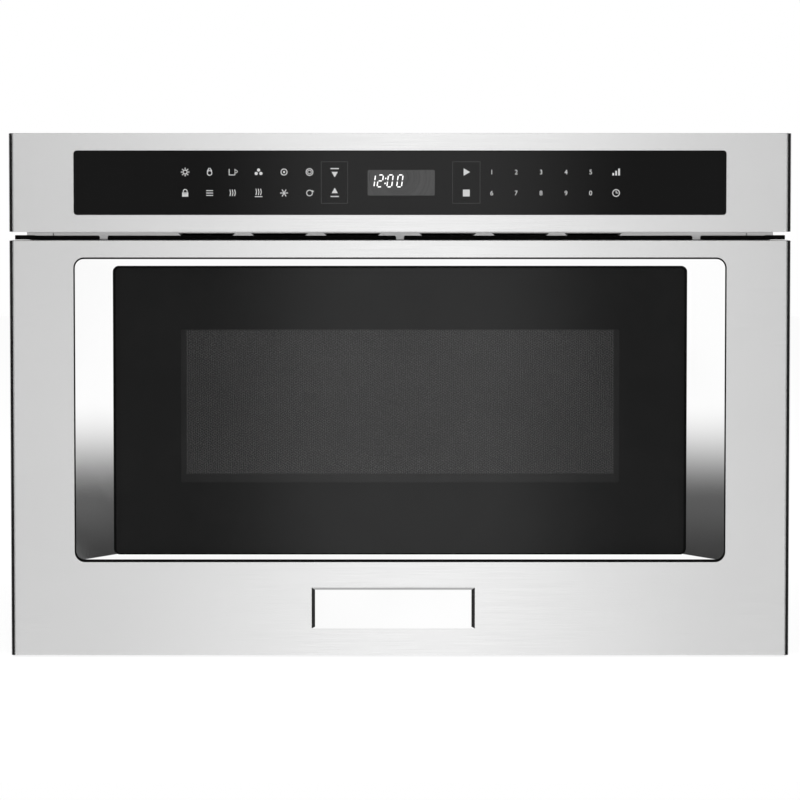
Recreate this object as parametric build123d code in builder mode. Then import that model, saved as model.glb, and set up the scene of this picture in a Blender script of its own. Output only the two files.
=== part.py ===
"""A built-in microwave drawer: a brushed steel drawer front with a recessed black window, a touch
control panel above it, and the oven, its drawer, its drive and its microwave supply behind them.

Millimetres. +X is to the right seen from the front, the front faces -Y and +Z is up. The origin is
under the middle of the whole object, at the level of the runners that it stands on.
"""

import os
from math import acos, cos, pi, radians, sin, tan

from build123d import *

# ---------------------------------------------------------------- driving dimensions

# Overall
width = 606.0  # across the front panels
front_height = 406.0  # from the drawer front's lower edge to the control panel's top
depth = 594.0  # from the badge's face to the cord bushing's rim
floor_gap = 1.5  # under the drawer front, which runs clear of the surface below
panel_height = 76.4  # control panel
panel_gap = 6.5  # between the control panel and the drawer front
panel_depth = 30.0  # drawer front, front to back
seal_gap = 2.0  # between the closed drawer front and the front frame

# Sheets
skin = 1.0  # brushed steel of the two front panels
frame_sheet = 1.5  # front frame and the drawer front's inner frame
case_sheet = 1.0  # base, sides, top, rear and oven cavity
edge_radius = 4.0  # rolled upright edges of the front panels
lip_radius = 0.6  # their top and bottom edges

# Clearances
slip = 0.3  # between pieces that run past each other
bearing_gap = 0.05  # shaft in its bearing, on the radius
reveal = 0.8  # dark line round the window recess
glass_play = 0.3  # round the control glass

# Window recess in the drawer front
recess_side = 50.75  # from each side of the drawer front
recess_under = 73.7  # from its lower edge
recess_over = 14.0  # from its upper edge
recess_depth = 4.4
recess_radius = 7.4
bezel_wall = 1.2
bezel_flange = 8.0
pane_side = 29.45  # recess wall seen from the front, at the sides
pane_over = 5.8  # the same above the pane
pane_under = 4.8  # the same below it
pane_radius = 4.7
pane_thickness = 4.0
pane_tuck_side = 9.0  # how far the pane goes under the bezel
pane_tuck_over = 3.5
screen_sheet = 1.0
gasket_width = 10.0
gasket_thickness = 3.4
rim_hollow_depth = 2.5  # ahead of the choke groove's floor

# Badge
badge_width = 127.0
badge_height = 31.9
badge_depth = 2.5
badge_x = -5.25
badge_z = 37.2  # above the drawer front's lower edge
badge_bevel_side = 2.7
badge_bevel_over = 1.5  # its upper and lower bevels
badge_bevel_depth = 1.2

# Control panel
control_side = 50.7  # from the panel's side to its glass
control_glass_height = 49.3
control_glass_over = 13.7  # from the panel's top to its glass
control_glass_thickness = 3.0
control_glass_radius = 2.3
glass_recess = 0.3
housing_border = 6.0  # housing beyond the glass
housing_depth = 24.0
housing_wall = 2.0
ledge = 5.5  # what carries the edge of the control glass
sensor_sheet = 0.4
display_width = 52.0
display_height = 19.8
display_x = 0.9
display_rim = 4.0
display_step = 0.6  # display's face ahead of its frame
display_depth = 8.0
boss_radius = 3.0
boss_inset = 52.3  # from the glass's ends to the outer screw bosses
boss_count = 5
boss_border = 10.0  # from the glass's upper and lower edges
cable_inset = 82.3  # from the glass's right end to the cable's way out
cable_width = 40.0
board_sheet = 1.6

# Vent strip in the gap under the control panel
vent_set_back = 8.0
vent_sheet = 1.0
vent_slot_width = 44.5
vent_slot_narrow = 40.3
vent_slot_centres = (37.0, 93.5, 150.0)
vent_tab_width = 6.0
vent_tab_inset = 59.5  # from the strip's end to its outer tab's middle
vent_slot_corner = 1.5
vent_end = 2.0  # of the strip beyond its outer slots
vent_slit_inset = 20.5  # from the strip's end to the slit where its end piece begins
vent_slit = 0.8

# Front frame and case
frame_inset = 13.5  # from the front panels' sides to the front frame's
frame_drop = 2.5  # from the control panel's top to the front frame's
frame_lift = 4.0  # front frame above the surface below
case_inset = 25.0  # the same to the case
case_drop = 36.5  # from the control panel's top to the case's
runner_height = 8.0
runner_width = 30.0
runner_wall = 1.5
runner_inset = 63.0  # from the case's side to the runner's middle
runner_lip = 8.0
runner_end = 10.0  # from the case's front and rear to the runners' ends
side_flange = 12.0
mount_hole_radius = 2.0
mount_hole_inset = 4.5
mount_hole_low = 58.5  # above the drawer front's lower edge
mount_hole_high = 54.6  # below the drawer front's upper edge
base_vent_lead = 100.0  # from the rear compartment's middle forward to the vents in the base

# Oven cavity
side_space = 49.0  # between the case and the cavity, where the slides run
under_space = 65.0
over_space = 97.0
rear_margin = 8.75  # before and behind the fan's ring, which sets the rear space
cavity_radius = 10.0
cavity_lip = 10.0
well_half = 94.0
well_rise = 16.0
feed_radius = 30.0
cover_half = 100.0
cover_thickness = 1.2

# Microwave supply
guide_half = 50.0
guide_rise = 40.0
guide_lead = 50.0  # waveguide ahead of the stirrer
guide_clear = 8.5  # between the waveguide and the rear panel
magnetron_inset = 5.0  # from the waveguide's rear end to the magnetron's yoke
yoke_half = 47.5
yoke_depth = 80.0
yoke_rise = 65.0
yoke_sheet = 2.0
magnet_radius = 26.0
magnet_rise = 7.0
anode_radius = 19.0
antenna_radius = 7.0
antenna_rise = 25.0
antenna_clear = 5.0  # round the antenna in the waveguide
fin_sheet = 0.8
fin_pitch = 8.0
fin_count = 6
filter_half = 30.0
filter_rise = 34.0
filter_inset = 7.0
filter_sheet = 1.0
blade_reach = 78.0
blade_width = 30.0
blade_sheet = 1.2
blade_tilt = 7.0
stirrer_hub = 10.0
stirrer_hub_rise = 6.0
stirrer_lift = 3.0  # above the cavity's ceiling
stirrer_shaft = 3.0
stirrer_motor_radius = 25.0
stirrer_motor_rise = 16.0
motor_ear_half = 35.0
motor_ear_width = 10.0

# Cooling fan
fan_x = -100.0
fan_radius = 42.0
fan_ring_gap = 4.0
fan_ring_wall = 2.0
fan_ring_length = 16.0
fan_plate = 2.0
fan_plate_border = 6.0
fan_strut_width = 12.0
fan_strut = 4.0
fan_blades = 7
fan_hub_radius = 12.0
fan_shaft = 2.5
fan_motor_size = 60.0
fan_motor_stack = 24.0

# High-voltage transformer and capacitor
core_width = 100.0
core_height = 84.0
core_depth = 62.0
core_limb = 17.0
winding_overhang = 14.0
capacitor_length = 90.0
capacitor_width = 52.0
capacitor_rise = 32.0
clamp_sheet = 1.0
clamp_width = 14.0

# Oven lamp
lamp_box = 50.0
lamp_box_depth = 40.0
lamp_sheet = 0.8
bulb_radius = 11.0
bulb_base_radius = 8.0

# Drawer
tray_gap = 6.0  # between the tray and the cavity's sides
tray_lift = 4.0  # above the cavity's floor
tray_headroom = 46.0  # from the tray's rim to the cavity's ceiling
tray_back_gap = 17.0
tray_wall = 2.0
tray_corner = 20.0
tray_rim = 4.0
tray_sill = 42.0  # height of the tray's low front
floor_plate = 5.0
inner_pane = 3.0

# Slides
slide_thickness = 12.7
slide_height = 45.0
slide_z = 56.0
rail_sheet = 1.2
ball_gap = 3.0
ball_pitch = 30.0
ball_count = 6  # in each row
cage_width = 4.4
cage_sheet = 0.8
bracket_sheet = 1.5
bracket_length = 60.0
rail_beyond = 9.0  # slides past the cavity's rear wall
rail_overlap = 70.0  # of the slides' length that stays inside at full travel

# Drive
gear_module = 1.5
pinion_teeth = 18
pressure_angle = 20.0
backlash = 0.7
rack_z = 32.0
rack_height = 12.0
rack_back = 10.0  # bar behind the rack's teeth
rack_spare = 42.0  # rack beyond the drawer's travel
pinion_set_back = 26.0  # from the front frame to the pinion's axis
pinion_shaft = 3.0
gearbox_depth = 40.0
gearbox_side = 31.0  # beside the pinion
guide_arm = 24.0  # length of the rack's guide
motor_radius = 14.5
motor_length = 60.0

# Interlock
hook_space = 19.0  # from the cavity's side to the hook's middle
hook_width = 8.0
hook_height = 8.0
hook_over = 5.6  # from the drawer front's inner frame's top to the hook's centre
hook_reach = 32.5
plunger_radius = 1.5
switch_gap = 4.0
switch_size = (11.0, 16.0, 28.0)

# Fasteners and rubber
screw_radius = 2.0
screw_head = 4.0
screw_head_rise = 2.0
screw_grip = 8.0
bumper_radius = 4.5
bushing_rim = 2.5
bushing_radius = 9.0
cord_radius = 4.0

# ---------------------------------------------------------------- places that follow from them

front_y = -depth / 2 + badge_depth
drawer_back_y = front_y + panel_depth
frame_y = drawer_back_y + seal_gap
case_y = frame_y + frame_sheet
rear_y = depth / 2 - bushing_rim
inner_rear_y = rear_y - case_sheet

drawer_z = (floor_gap, floor_gap + front_height - panel_height - panel_gap)
panel_z = (drawer_z[1] + panel_gap, floor_gap + front_height)

case_half = width / 2 - case_inset
case_in = case_half - case_sheet
case_top = panel_z[1] - case_drop
base_top = runner_height + case_sheet
frame_half = width / 2 - frame_inset
runner_x = case_half - runner_inset
mount_hole_z = (drawer_z[0] + mount_hole_low, drawer_z[1] - mount_hole_high)

cavity_half = case_in - side_space
cavity_z = (base_top + under_space, case_top - over_space)
ring_radius = fan_radius + fan_ring_gap
cavity_back = inner_rear_y - 2 * (ring_radius + fan_ring_wall + rear_margin)
cavity_shell_back = cavity_back + case_sheet
stirrer_y = (case_y + cavity_back) / 2
cavity_roof = cavity_z[1] + case_sheet
well_top = cavity_roof + well_rise

guide_back = inner_rear_y - guide_clear
guide_top = well_top + guide_rise
magnetron_y = guide_back - yoke_depth / 2 - magnetron_inset
antenna_hole = antenna_radius + antenna_clear
yoke_low = well_top - yoke_rise
rear_middle = (cavity_shell_back + inner_rear_y) / 2

hook_x = cavity_half + hook_space
recess_half = width / 2 - recess_side
recess_z = (drawer_z[0] + recess_under, drawer_z[1] - recess_over)
pane_half = recess_half - pane_side
pane_z = (recess_z[0] + pane_under, recess_z[1] - pane_over)
pane_y = front_y + recess_depth + bezel_wall
pane_back = pane_y + pane_thickness
screen_y = pane_back + gasket_thickness
inner_frame_y = screen_y + screen_sheet

slide_in = case_in - slide_thickness
inner_frame_half = slide_in - bracket_sheet
inner_frame_z = (drawer_z[0] + 27, drawer_z[1] - 15)
rail_length = cavity_back - case_y + rail_beyond
travel = rail_length - rail_overlap

pitch_radius = gear_module * pinion_teeth / 2
tooth_pitch = pi * gear_module
dedendum = 1.25 * gear_module
pressure = radians(pressure_angle)
base_radius = pitch_radius * cos(pressure)
pinion_y = frame_y + pinion_set_back
rack_length = travel + rack_spare
gearbox_top = rack_z - 2

os.makedirs("parts", exist_ok=True)


# ---------------------------------------------------------------- helpers


def save(piece, name):
    """Names a finished piece and writes it."""
    piece.part.label = name
    export_step(piece.part, f"parts/{name}.step")


def around(centre, size):
    """The low and high ends of a stretch of this size round a centre."""
    return (centre - size / 2, centre + size / 2)


def grown(span, border):
    """A span with a border added at both ends."""
    return (span[0] - border, span[1] + border)


def sided(side, low, high):
    """A span in X on the right (side 1), or its mirror image on the left (side -1)."""
    return (low, high) if side > 0 else (-high, -low)


def block(x, y, z, mode=Mode.ADD):
    """A box from three spans."""
    with Locations([tuple(sum(span) / 2 for span in (x, y, z))]):
        Box(x[1] - x[0], y[1] - y[0], z[1] - z[0], mode=mode)


def plate(x, y, z, radius, mode=Mode.ADD):
    """A plate parallel to the front, with rounded corners."""
    with BuildSketch(Plane.XZ.offset(-y[1])) as outline:
        with Locations((sum(x) / 2, sum(z) / 2)):
            RectangleRounded(x[1] - x[0], z[1] - z[0], radius)
    extrude(outline.sketch, amount=y[1] - y[0], mode=mode)


def flat_plate(x, y, z, radius, mode=Mode.ADD):
    """A level plate with rounded corners."""
    with BuildSketch(Plane.XY.offset(z[0])) as outline:
        with Locations((sum(x) / 2, sum(y) / 2)):
            RectangleRounded(x[1] - x[0], y[1] - y[0], radius)
    extrude(outline.sketch, amount=z[1] - z[0], mode=mode)


def rods(axis, points, radius, span, mode=Mode.ADD):
    """Round rods or holes along one axis, at points given by the other two coordinates."""
    plane = {"X": Plane.YZ, "Y": Plane.XZ, "Z": Plane.XY}[axis]
    start = -span[1] if axis == "Y" else span[0]
    with BuildSketch(plane.offset(start)) as discs:
        with Locations(*points):
            Circle(radius)
    extrude(discs.sketch, amount=span[1] - span[0], mode=mode)


def grid(x_values, y_values):
    """Every pairing of two lists of coordinates."""
    return [(x, y) for x in x_values for y in y_values]


def row(first, step, count):
    """Evenly spaced coordinates."""
    return [first + step * i for i in range(count)]


# ---------------------------------------------------------------- the two brushed steel panels


def panel_skin(z, back_y):
    """A front panel's skin: a shallow steel pan, open at the back, with rolled upright edges."""
    block((-width / 2, width / 2), (front_y, back_y), z)
    fillet(edges().filter_by(Axis.Z).group_by(Axis.Y)[0], edge_radius)
    offset(amount=-skin, openings=faces().sort_by(Axis.Y)[-1])
    front_edges = faces().sort_by(Axis.Y)[0].edges().filter_by(Axis.X)
    fillet(front_edges, lip_radius)


glass_half = width / 2 - control_side
glass_z = (panel_z[1] - control_glass_over - control_glass_height, panel_z[1] - control_glass_over)
glass_y = front_y + glass_recess
glass_back = glass_y + control_glass_thickness
panel_inside = (front_y + skin, front_y + skin + housing_depth)

with BuildPart() as control_panel_fascia:
    panel_skin(panel_z, frame_y)
    plate(
        grown((-glass_half, glass_half), glass_play),
        (front_y - 1, front_y + skin + 1),
        grown(glass_z, glass_play),
        control_glass_radius + glass_play,
        Mode.SUBTRACT,
    )
save(control_panel_fascia, "control_panel_fascia")

with BuildPart() as control_glass:
    plate((-glass_half, glass_half), (glass_y, glass_back), glass_z, control_glass_radius)
    chamfer(faces().sort_by(Axis.Y)[0].edges(), 0.3)
save(control_glass, "control_glass")

# The housing is bonded to the back of the skin round the opening. Its ledge carries the glass.
boss_end = glass_half - boss_inset
boss_x = row(-boss_end, 2 * boss_end / (boss_count - 1), boss_count)
boss_points = grid(boss_x, grown(glass_z, -boss_border))
cable_x = around(glass_half - cable_inset, cable_width)
display_frame_y = glass_back + display_step
board_y = display_frame_y + display_depth
board_back = board_y + board_sheet
housing_floor = panel_inside[1] - housing_wall
with BuildPart() as control_housing:
    plate(
        grown((-glass_half, glass_half), housing_border),
        panel_inside,
        grown(glass_z, housing_border),
        control_glass_radius + housing_border,
    )
    plate(
        grown((-glass_half, glass_half), glass_play),
        (panel_inside[0], glass_back),
        grown(glass_z, glass_play),
        control_glass_radius + glass_play,
        Mode.SUBTRACT,
    )
    plate(
        grown((-glass_half, glass_half), -ledge),
        (glass_back, housing_floor),
        grown(glass_z, -ledge),
        control_glass_radius,
        Mode.SUBTRACT,
    )
    rods("Y", boss_points, boss_radius, (board_back, housing_floor))
    block(cable_x, (housing_floor - 1, panel_inside[1] + 1), around(sum(glass_z) / 2, 12), Mode.SUBTRACT)
save(control_housing, "control_housing")

sensor_border = ledge + 1.5
display_z = sum(glass_z) / 2
with BuildPart() as touch_sensor_sheet:
    plate(
        grown((-glass_half, glass_half), -sensor_border),
        (glass_back, glass_back + sensor_sheet),
        grown(glass_z, -sensor_border),
        1,
    )
    plate(
        around(display_x, display_width + 1),
        (glass_back - 1, glass_back + 1),
        around(display_z, display_height + 1),
        1,
        Mode.SUBTRACT,
    )
save(touch_sensor_sheet, "touch_sensor_sheet")

with BuildPart() as display_module:
    plate(
        around(display_x, display_width),
        (glass_back, display_frame_y),
        around(display_z, display_height),
        1.5,
    )
    plate(
        around(display_x, display_width + 2 * display_rim),
        (display_frame_y, board_y),
        around(display_z, display_height + display_rim),
        1,
    )
save(display_module, "display_module")

with BuildPart() as control_board:
    plate(
        grown((-glass_half, glass_half), -ledge - 2),
        (board_y, board_back),
        grown(glass_z, -ledge - 1),
        1,
    )
    # relays on the left, the controller and a connector on the right, two round parts in the middle
    for relay_x in row(-150, 32, 4):
        block(around(relay_x, 18), (board_back, board_back + 8), around(display_z, 14))
    block(around(60, 24), (board_back, board_back + 2), around(display_z, 24))
    block(around(130, 30), (board_back, board_back + 6), around(display_z, 8))
    rods("Y", [(0, display_z), (-34, display_z)], 5, (board_back, board_back + 7))
save(control_board, "control_board")

# ---------------------------------------------------------------- vent strip

vent_y = front_y + vent_set_back
vent_low = drawer_z[1] + 0.5
vent_z = (vent_low, panel_z[0])
vent_split = drawer_z[1] + 3.6
upper_slot_top = panel_z[0] - vent_sheet
with BuildPart() as vent_grille:
    block((-frame_half, frame_half), (vent_y, vent_y + vent_sheet), vent_z)
    block((-frame_half, frame_half), (vent_y, frame_y), (upper_slot_top, panel_z[0]))
    slot_half_top = vent_slot_width / 2
    slot_half_low = vent_slot_narrow / 2
    with BuildSketch(Plane.XZ.offset(-vent_y - 2)) as upper_slots:
        with Locations(*[(side * x, 0) for x in vent_slot_centres for side in (-1, 1)]):
            Polygon(
                (-slot_half_low, vent_split - 0.01),
                (slot_half_low, vent_split - 0.01),
                (slot_half_top, upper_slot_top),
                (-slot_half_top, upper_slot_top),
                align=None,
            )
    extrude(upper_slots.sketch, amount=4, mode=Mode.SUBTRACT)
    # four long slots below, open at the bottom, with a narrow tab between each two
    tab_x = frame_half - vent_tab_inset
    end_x = frame_half - vent_end + vent_tab_width / 2
    slot_ends = [-end_x, -tab_x, 0, tab_x, end_x]
    for left, right in zip(slot_ends, slot_ends[1:]):
        plate(
            (left + vent_tab_width / 2, right - vent_tab_width / 2),
            (vent_y - 1, vent_y + 2),
            (vent_low - 2 * vent_slot_corner, vent_split),
            vent_slot_corner,
            Mode.SUBTRACT,
        )
    for slit_x in (vent_slit_inset - frame_half, frame_half - vent_slit_inset):
        slit_z = (vent_split - 1, upper_slot_top)
        block(around(slit_x, vent_slit), (vent_y - 1, vent_y + 2), slit_z, Mode.SUBTRACT)
save(vent_grille, "vent_grille")

# ---------------------------------------------------------------- front frame

slide_slot_x = (inner_frame_half - 1.5, case_in)
slide_slot_z = grown((slide_z, slide_z + slide_height), 1.5)
rack_root = pitch_radius + dedendum
rack_x = (pitch_radius - gear_module, rack_root + rack_back)
hook_z = inner_frame_z[1] - hook_over
switch_x = (hook_x - switch_size[0] / 2, hook_x + switch_size[0] / 2)
switch_front = drawer_back_y + hook_reach + switch_gap
with BuildPart() as front_frame:
    plate((-frame_half, frame_half), (frame_y, case_y), (frame_lift, panel_z[1] - frame_drop), 2)
    plate((-cavity_half, cavity_half), (frame_y - 1, case_y + 1), cavity_z, cavity_radius, Mode.SUBTRACT)
    for side in (-1, 1):
        block(sided(side, *slide_slot_x), (frame_y - 1, case_y + 1), slide_slot_z, Mode.SUBTRACT)
        hook_span = sided(side, *around(hook_x, hook_width + 4))
        block(hook_span, (frame_y - 1, case_y + 1), around(hook_z, hook_height + 4), Mode.SUBTRACT)
        for slot_x in vent_slot_centres:
            vent_hole = around(side * slot_x, vent_slot_narrow)
            block(vent_hole, (frame_y - 1, case_y + 1), (drawer_z[1] + 1, panel_z[0] - 1.5), Mode.SUBTRACT)
        # a tab bent back from the frame carries the interlock switch
        switch_tab = sided(side, switch_x[0] - frame_sheet, switch_x[0])
        block(switch_tab, (case_y, switch_front + switch_size[1] + 2), around(hook_z, switch_size[2]))
    rack_slot_z = grown((rack_z, rack_z + rack_height), 2)
    block(grown(rack_x, 2), (frame_y - 1, case_y + 1), rack_slot_z, Mode.SUBTRACT)
    block(cable_x, (frame_y - 1, case_y + 1), around(display_z, 16), Mode.SUBTRACT)
    mount_x = frame_half - mount_hole_inset
    rods("Y", grid((-mount_x, mount_x), mount_hole_z), mount_hole_radius, (frame_y, case_y), Mode.SUBTRACT)
save(front_frame, "front_frame")

# ---------------------------------------------------------------- case


def side_panel(side):
    """A flat case side with flanges turned in at the front, the rear and the top."""
    y = (case_y, inner_rear_y)
    z = (base_top, case_top - case_sheet)
    flange_x = sided(side, case_in - side_flange, case_in)
    block(sided(side, case_in, case_half), y, z)
    block(flange_x, (y[0], y[0] + case_sheet), z)
    block(flange_x, (y[1] - case_sheet, y[1]), z)
    block(flange_x, y, (z[1] - case_sheet, z[1]))
    block(flange_x, (y[0] - 1, y[0] + 2), slide_slot_z, Mode.SUBTRACT)
    rear_points = [(side * screw_x, z) for z in rear_screw_z]
    rods("Y", rear_points, screw_radius, grown((y[1], y[1]), 2), Mode.SUBTRACT)
    top_points = [(side * screw_x, y) for y in top_screw_y]
    rods("Z", top_points, screw_radius, grown((z[1], z[1]), 2), Mode.SUBTRACT)


screw_x = case_in - side_flange / 2
rear_screw_z = (base_top + 20, (base_top + case_top) / 2, case_top - 25)
top_screw_y = (case_y + 30, (case_y + inner_rear_y) / 2, inner_rear_y - 30)

with BuildPart() as left_side_panel:
    side_panel(-1)
save(left_side_panel, "left_side_panel")

with BuildPart() as right_side_panel:
    side_panel(1)
save(right_side_panel, "right_side_panel")

with BuildPart() as top_cover:
    block((-case_half, case_half), (case_y, inner_rear_y), (case_top - case_sheet, case_top))
    top_points = grid((-screw_x, screw_x), top_screw_y)
    rods("Z", top_points, screw_radius, (case_top - 2, case_top + 1), Mode.SUBTRACT)
save(top_cover, "top_cover")

outlet_x = case_in - 117
with BuildPart() as base_plate:
    block((-case_half, case_half), (case_y, inner_rear_y), (runner_height, base_top))
    with BuildSketch(Plane.XY.offset(runner_height - 1)) as base_vents:
        with Locations((outlet_x, rear_middle - base_vent_lead)):
            with GridLocations(0, 12, 1, 6):
                SlotOverall(60, 5)
    extrude(base_vents.sketch, amount=case_sheet + 2, mode=Mode.SUBTRACT)
save(base_plate, "base_plate")

runner_y = grown((case_y, inner_rear_y), -runner_end)
with BuildPart() as base_runners:
    for side in (-1, 1):
        block(around(side * runner_x, runner_width), runner_y, (0, runner_height))
        hollow_x = around(side * runner_x, runner_width - 2 * runner_wall)
        block(hollow_x, grown(runner_y, 1), (runner_wall, runner_height), Mode.SUBTRACT)
        for lip_side in (-1, 1):
            lip_middle = side * runner_x + lip_side * (runner_width - runner_wall + runner_lip) / 2
            lip_x = around(lip_middle, runner_lip + runner_wall)
            block(lip_x, runner_y, (runner_height - runner_wall, runner_height))
save(base_runners, "base_runners")

bushing_x = -case_in + 40
bushing_z = base_top + 50
with BuildPart() as rear_panel:
    block((-case_half, case_half), (inner_rear_y, rear_y), (runner_height, case_top))
    rear_points = grid((-screw_x, screw_x), rear_screw_z)
    rods("Y", rear_points, screw_radius, grown((inner_rear_y, rear_y), 1), Mode.SUBTRACT)
    rods("Y", [(bushing_x, bushing_z)], bushing_radius, grown((inner_rear_y, rear_y), 1), Mode.SUBTRACT)
    with BuildSketch(Plane.XZ.offset(-rear_y - 1)) as outlet_slots:
        with Locations((outlet_x, base_top + core_height / 2 + 10), (outlet_x, cavity_z[1])):
            with GridLocations(0, 9, 1, 7):
                SlotOverall(70, 4.5)
    extrude(outlet_slots.sketch, amount=case_sheet + 2, mode=Mode.SUBTRACT)
save(rear_panel, "rear_panel")

with BuildPart() as cord_bushing:
    rods("Y", [(bushing_x, bushing_z)], bushing_radius, (inner_rear_y, rear_y))
    rods("Y", [(bushing_x, bushing_z)], bushing_radius + 3, (rear_y, depth / 2))
    rods("Y", [(bushing_x, bushing_z)], bushing_radius + 1.5, (inner_rear_y - 5, inner_rear_y))
    rods("Y", [(bushing_x, bushing_z)], cord_radius, (inner_rear_y - 6, depth / 2 + 1), Mode.SUBTRACT)
    fillet(edges().filter_by(GeomType.CIRCLE).sort_by(Axis.Y)[-1], 0.8)
save(cord_bushing, "cord_bushing")


def screw(axis, points, seat, tip, head_end):
    """Pan-head screws along an axis: the head from the seat to its end, the shank to the tip."""
    rods(axis, points, screw_head, tuple(sorted((seat, head_end))))
    rods(axis, points, screw_radius, tuple(sorted((seat, tip))))


with BuildPart() as case_screws:
    screw("Y", rear_points, rear_y, rear_y - screw_grip, rear_y + screw_head_rise)
    screw("Z", top_points, case_top, case_top - screw_grip, case_top + screw_head_rise)
save(case_screws, "case_screws")

# ---------------------------------------------------------------- oven cavity

lamp_x = cavity_half - 78
lamp_z = cavity_z[1] - 44
with BuildPart() as cavity:
    inside = (-cavity_half, cavity_half)
    shell_radius = cavity_radius + case_sheet
    plate(grown(inside, case_sheet), (case_y, cavity_shell_back), grown(cavity_z, case_sheet), shell_radius)
    plate(
        grown(inside, cavity_lip + case_sheet),
        (case_y, case_y + case_sheet),
        grown(cavity_z, cavity_lip + case_sheet),
        shell_radius + cavity_lip,
    )
    # a well pressed up in the ceiling gives the stirrer its room
    well_x = (-well_half, well_half)
    well_y = around(stirrer_y, 2 * well_half)
    block(grown(well_x, case_sheet), grown(well_y, case_sheet), (cavity_z[1], well_top))
    plate(inside, (case_y, cavity_back), cavity_z, cavity_radius, Mode.SUBTRACT)
    block(well_x, well_y, (cavity_z[1] - 1, well_top - case_sheet), Mode.SUBTRACT)
    rods("Z", [(0, stirrer_y)], feed_radius, (well_top - 2, well_top + 1), Mode.SUBTRACT)
    lamp_holes = grid(row(lamp_x - 12, 6, 5), row(lamp_z - 12, 6, 5))
    rods("Y", lamp_holes, 1.5, (cavity_back - 1, cavity_shell_back + 1), Mode.SUBTRACT)
save(cavity, "cavity")

with BuildPart() as ceiling_cover:
    flat_plate(
        (-cover_half, cover_half),
        around(stirrer_y, 2 * cover_half),
        (cavity_z[1] - cover_thickness, cavity_z[1]),
        8,
    )
save(ceiling_cover, "ceiling_cover")

with BuildPart() as lamp_housing:
    box_x = around(lamp_x, lamp_box)
    box_y = (cavity_shell_back, cavity_shell_back + lamp_box_depth)
    box_z = around(lamp_z, lamp_box)
    block(box_x, box_y, box_z)
    block(
        grown(box_x, -lamp_sheet),
        (box_y[0], box_y[1] - lamp_sheet),
        grown(box_z, -lamp_sheet),
        Mode.SUBTRACT,
    )
    rods("Y", [(lamp_x, lamp_z)], bulb_base_radius, (box_y[1] - 2, box_y[1] + 1), Mode.SUBTRACT)
save(lamp_housing, "lamp_housing")

with BuildPart() as lamp_bulb:
    bulb_y = cavity_shell_back + bulb_radius + 3
    with Locations((lamp_x, bulb_y, lamp_z)):
        Sphere(bulb_radius)
    rods("Y", [(lamp_x, lamp_z)], bulb_base_radius, (bulb_y + 6, box_y[1] + 8))
    rods("Y", [(lamp_x, lamp_z)], bulb_base_radius + 3, (box_y[1], box_y[1] + 4))
save(lamp_bulb, "lamp_bulb")

# ---------------------------------------------------------------- waveguide, magnetron and stirrer

guide_y = (stirrer_y - guide_lead, guide_back)
with BuildPart() as waveguide:
    block(grown((-guide_half, guide_half), case_sheet), guide_y, (well_top, guide_top))
    block(
        (-guide_half, guide_half),
        grown(guide_y, -case_sheet),
        (well_top + case_sheet, guide_top - case_sheet),
        Mode.SUBTRACT,
    )
    rods("Z", [(0, stirrer_y)], feed_radius, (well_top - 1, well_top + 2), Mode.SUBTRACT)
    rods("Z", [(0, magnetron_y)], antenna_hole, (well_top - 1, well_top + 2), Mode.SUBTRACT)
    rods("Z", [(0, stirrer_y)], stirrer_shaft + 1, (guide_top - 2, guide_top + 1), Mode.SUBTRACT)
save(waveguide, "waveguide")

yoke_y = around(magnetron_y, yoke_depth)
yoke_z = (yoke_low, well_top)
with BuildPart() as magnetron_yoke:
    block((-yoke_half, yoke_half), yoke_y, yoke_z)
    block(
        (-yoke_half - 1, yoke_half + 1),
        grown(yoke_y, -yoke_sheet),
        grown(yoke_z, -yoke_sheet),
        Mode.SUBTRACT,
    )
    rods("Z", [(0, magnetron_y)], antenna_hole, grown((well_top, well_top), 3), Mode.SUBTRACT)
    rods("Z", [(0, magnetron_y)], antenna_hole, grown((yoke_low, yoke_low), 3), Mode.SUBTRACT)
save(magnetron_yoke, "magnetron_yoke")

with BuildPart() as magnetron_anode:
    inner_z = grown(yoke_z, -yoke_sheet)
    rods("Z", [(0, magnetron_y)], anode_radius, inner_z)
    for magnet_low in (inner_z[0], inner_z[1] - magnet_rise):
        rods("Z", [(0, magnetron_y)], magnet_radius, (magnet_low, magnet_low + magnet_rise))
    for fin_z in row(inner_z[0] + 10, fin_pitch, fin_count):
        block(
            grown((-yoke_half, yoke_half), -3),
            grown(yoke_y, -yoke_sheet - 1),
            (fin_z, fin_z + fin_sheet),
        )
    rods("Z", [(0, magnetron_y)], antenna_radius, (inner_z[1], well_top + antenna_rise))
save(magnetron_anode, "magnetron_anode")

filter_z = (yoke_low - filter_rise, yoke_low)
with BuildPart() as magnetron_filter_box:
    filter_x = (-filter_half, filter_half)
    filter_y = grown(yoke_y, -filter_inset)
    block(filter_x, filter_y, filter_z)
    hollow_z = (filter_z[0] + filter_sheet, filter_z[1] + 1)
    block(grown(filter_x, -filter_sheet), grown(filter_y, -filter_sheet), hollow_z, Mode.SUBTRACT)
    block((filter_half, filter_half + 14), around(magnetron_y, 20), around(sum(filter_z) / 2, 16))
save(magnetron_filter_box, "magnetron_filter_box")

motor_z = (guide_top, guide_top + stirrer_motor_rise)
with BuildPart() as stirrer_motor:
    rods("Z", [(0, stirrer_y)], stirrer_motor_radius, motor_z)
    motor_ears = (-motor_ear_half, motor_ear_half)
    block(motor_ears, around(stirrer_y, motor_ear_width), (guide_top, guide_top + 1.5))
    rods("Z", [(0, stirrer_y)], stirrer_shaft + bearing_gap, (guide_top - 1, guide_top + 12), Mode.SUBTRACT)
save(stirrer_motor, "stirrer_motor")

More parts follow.
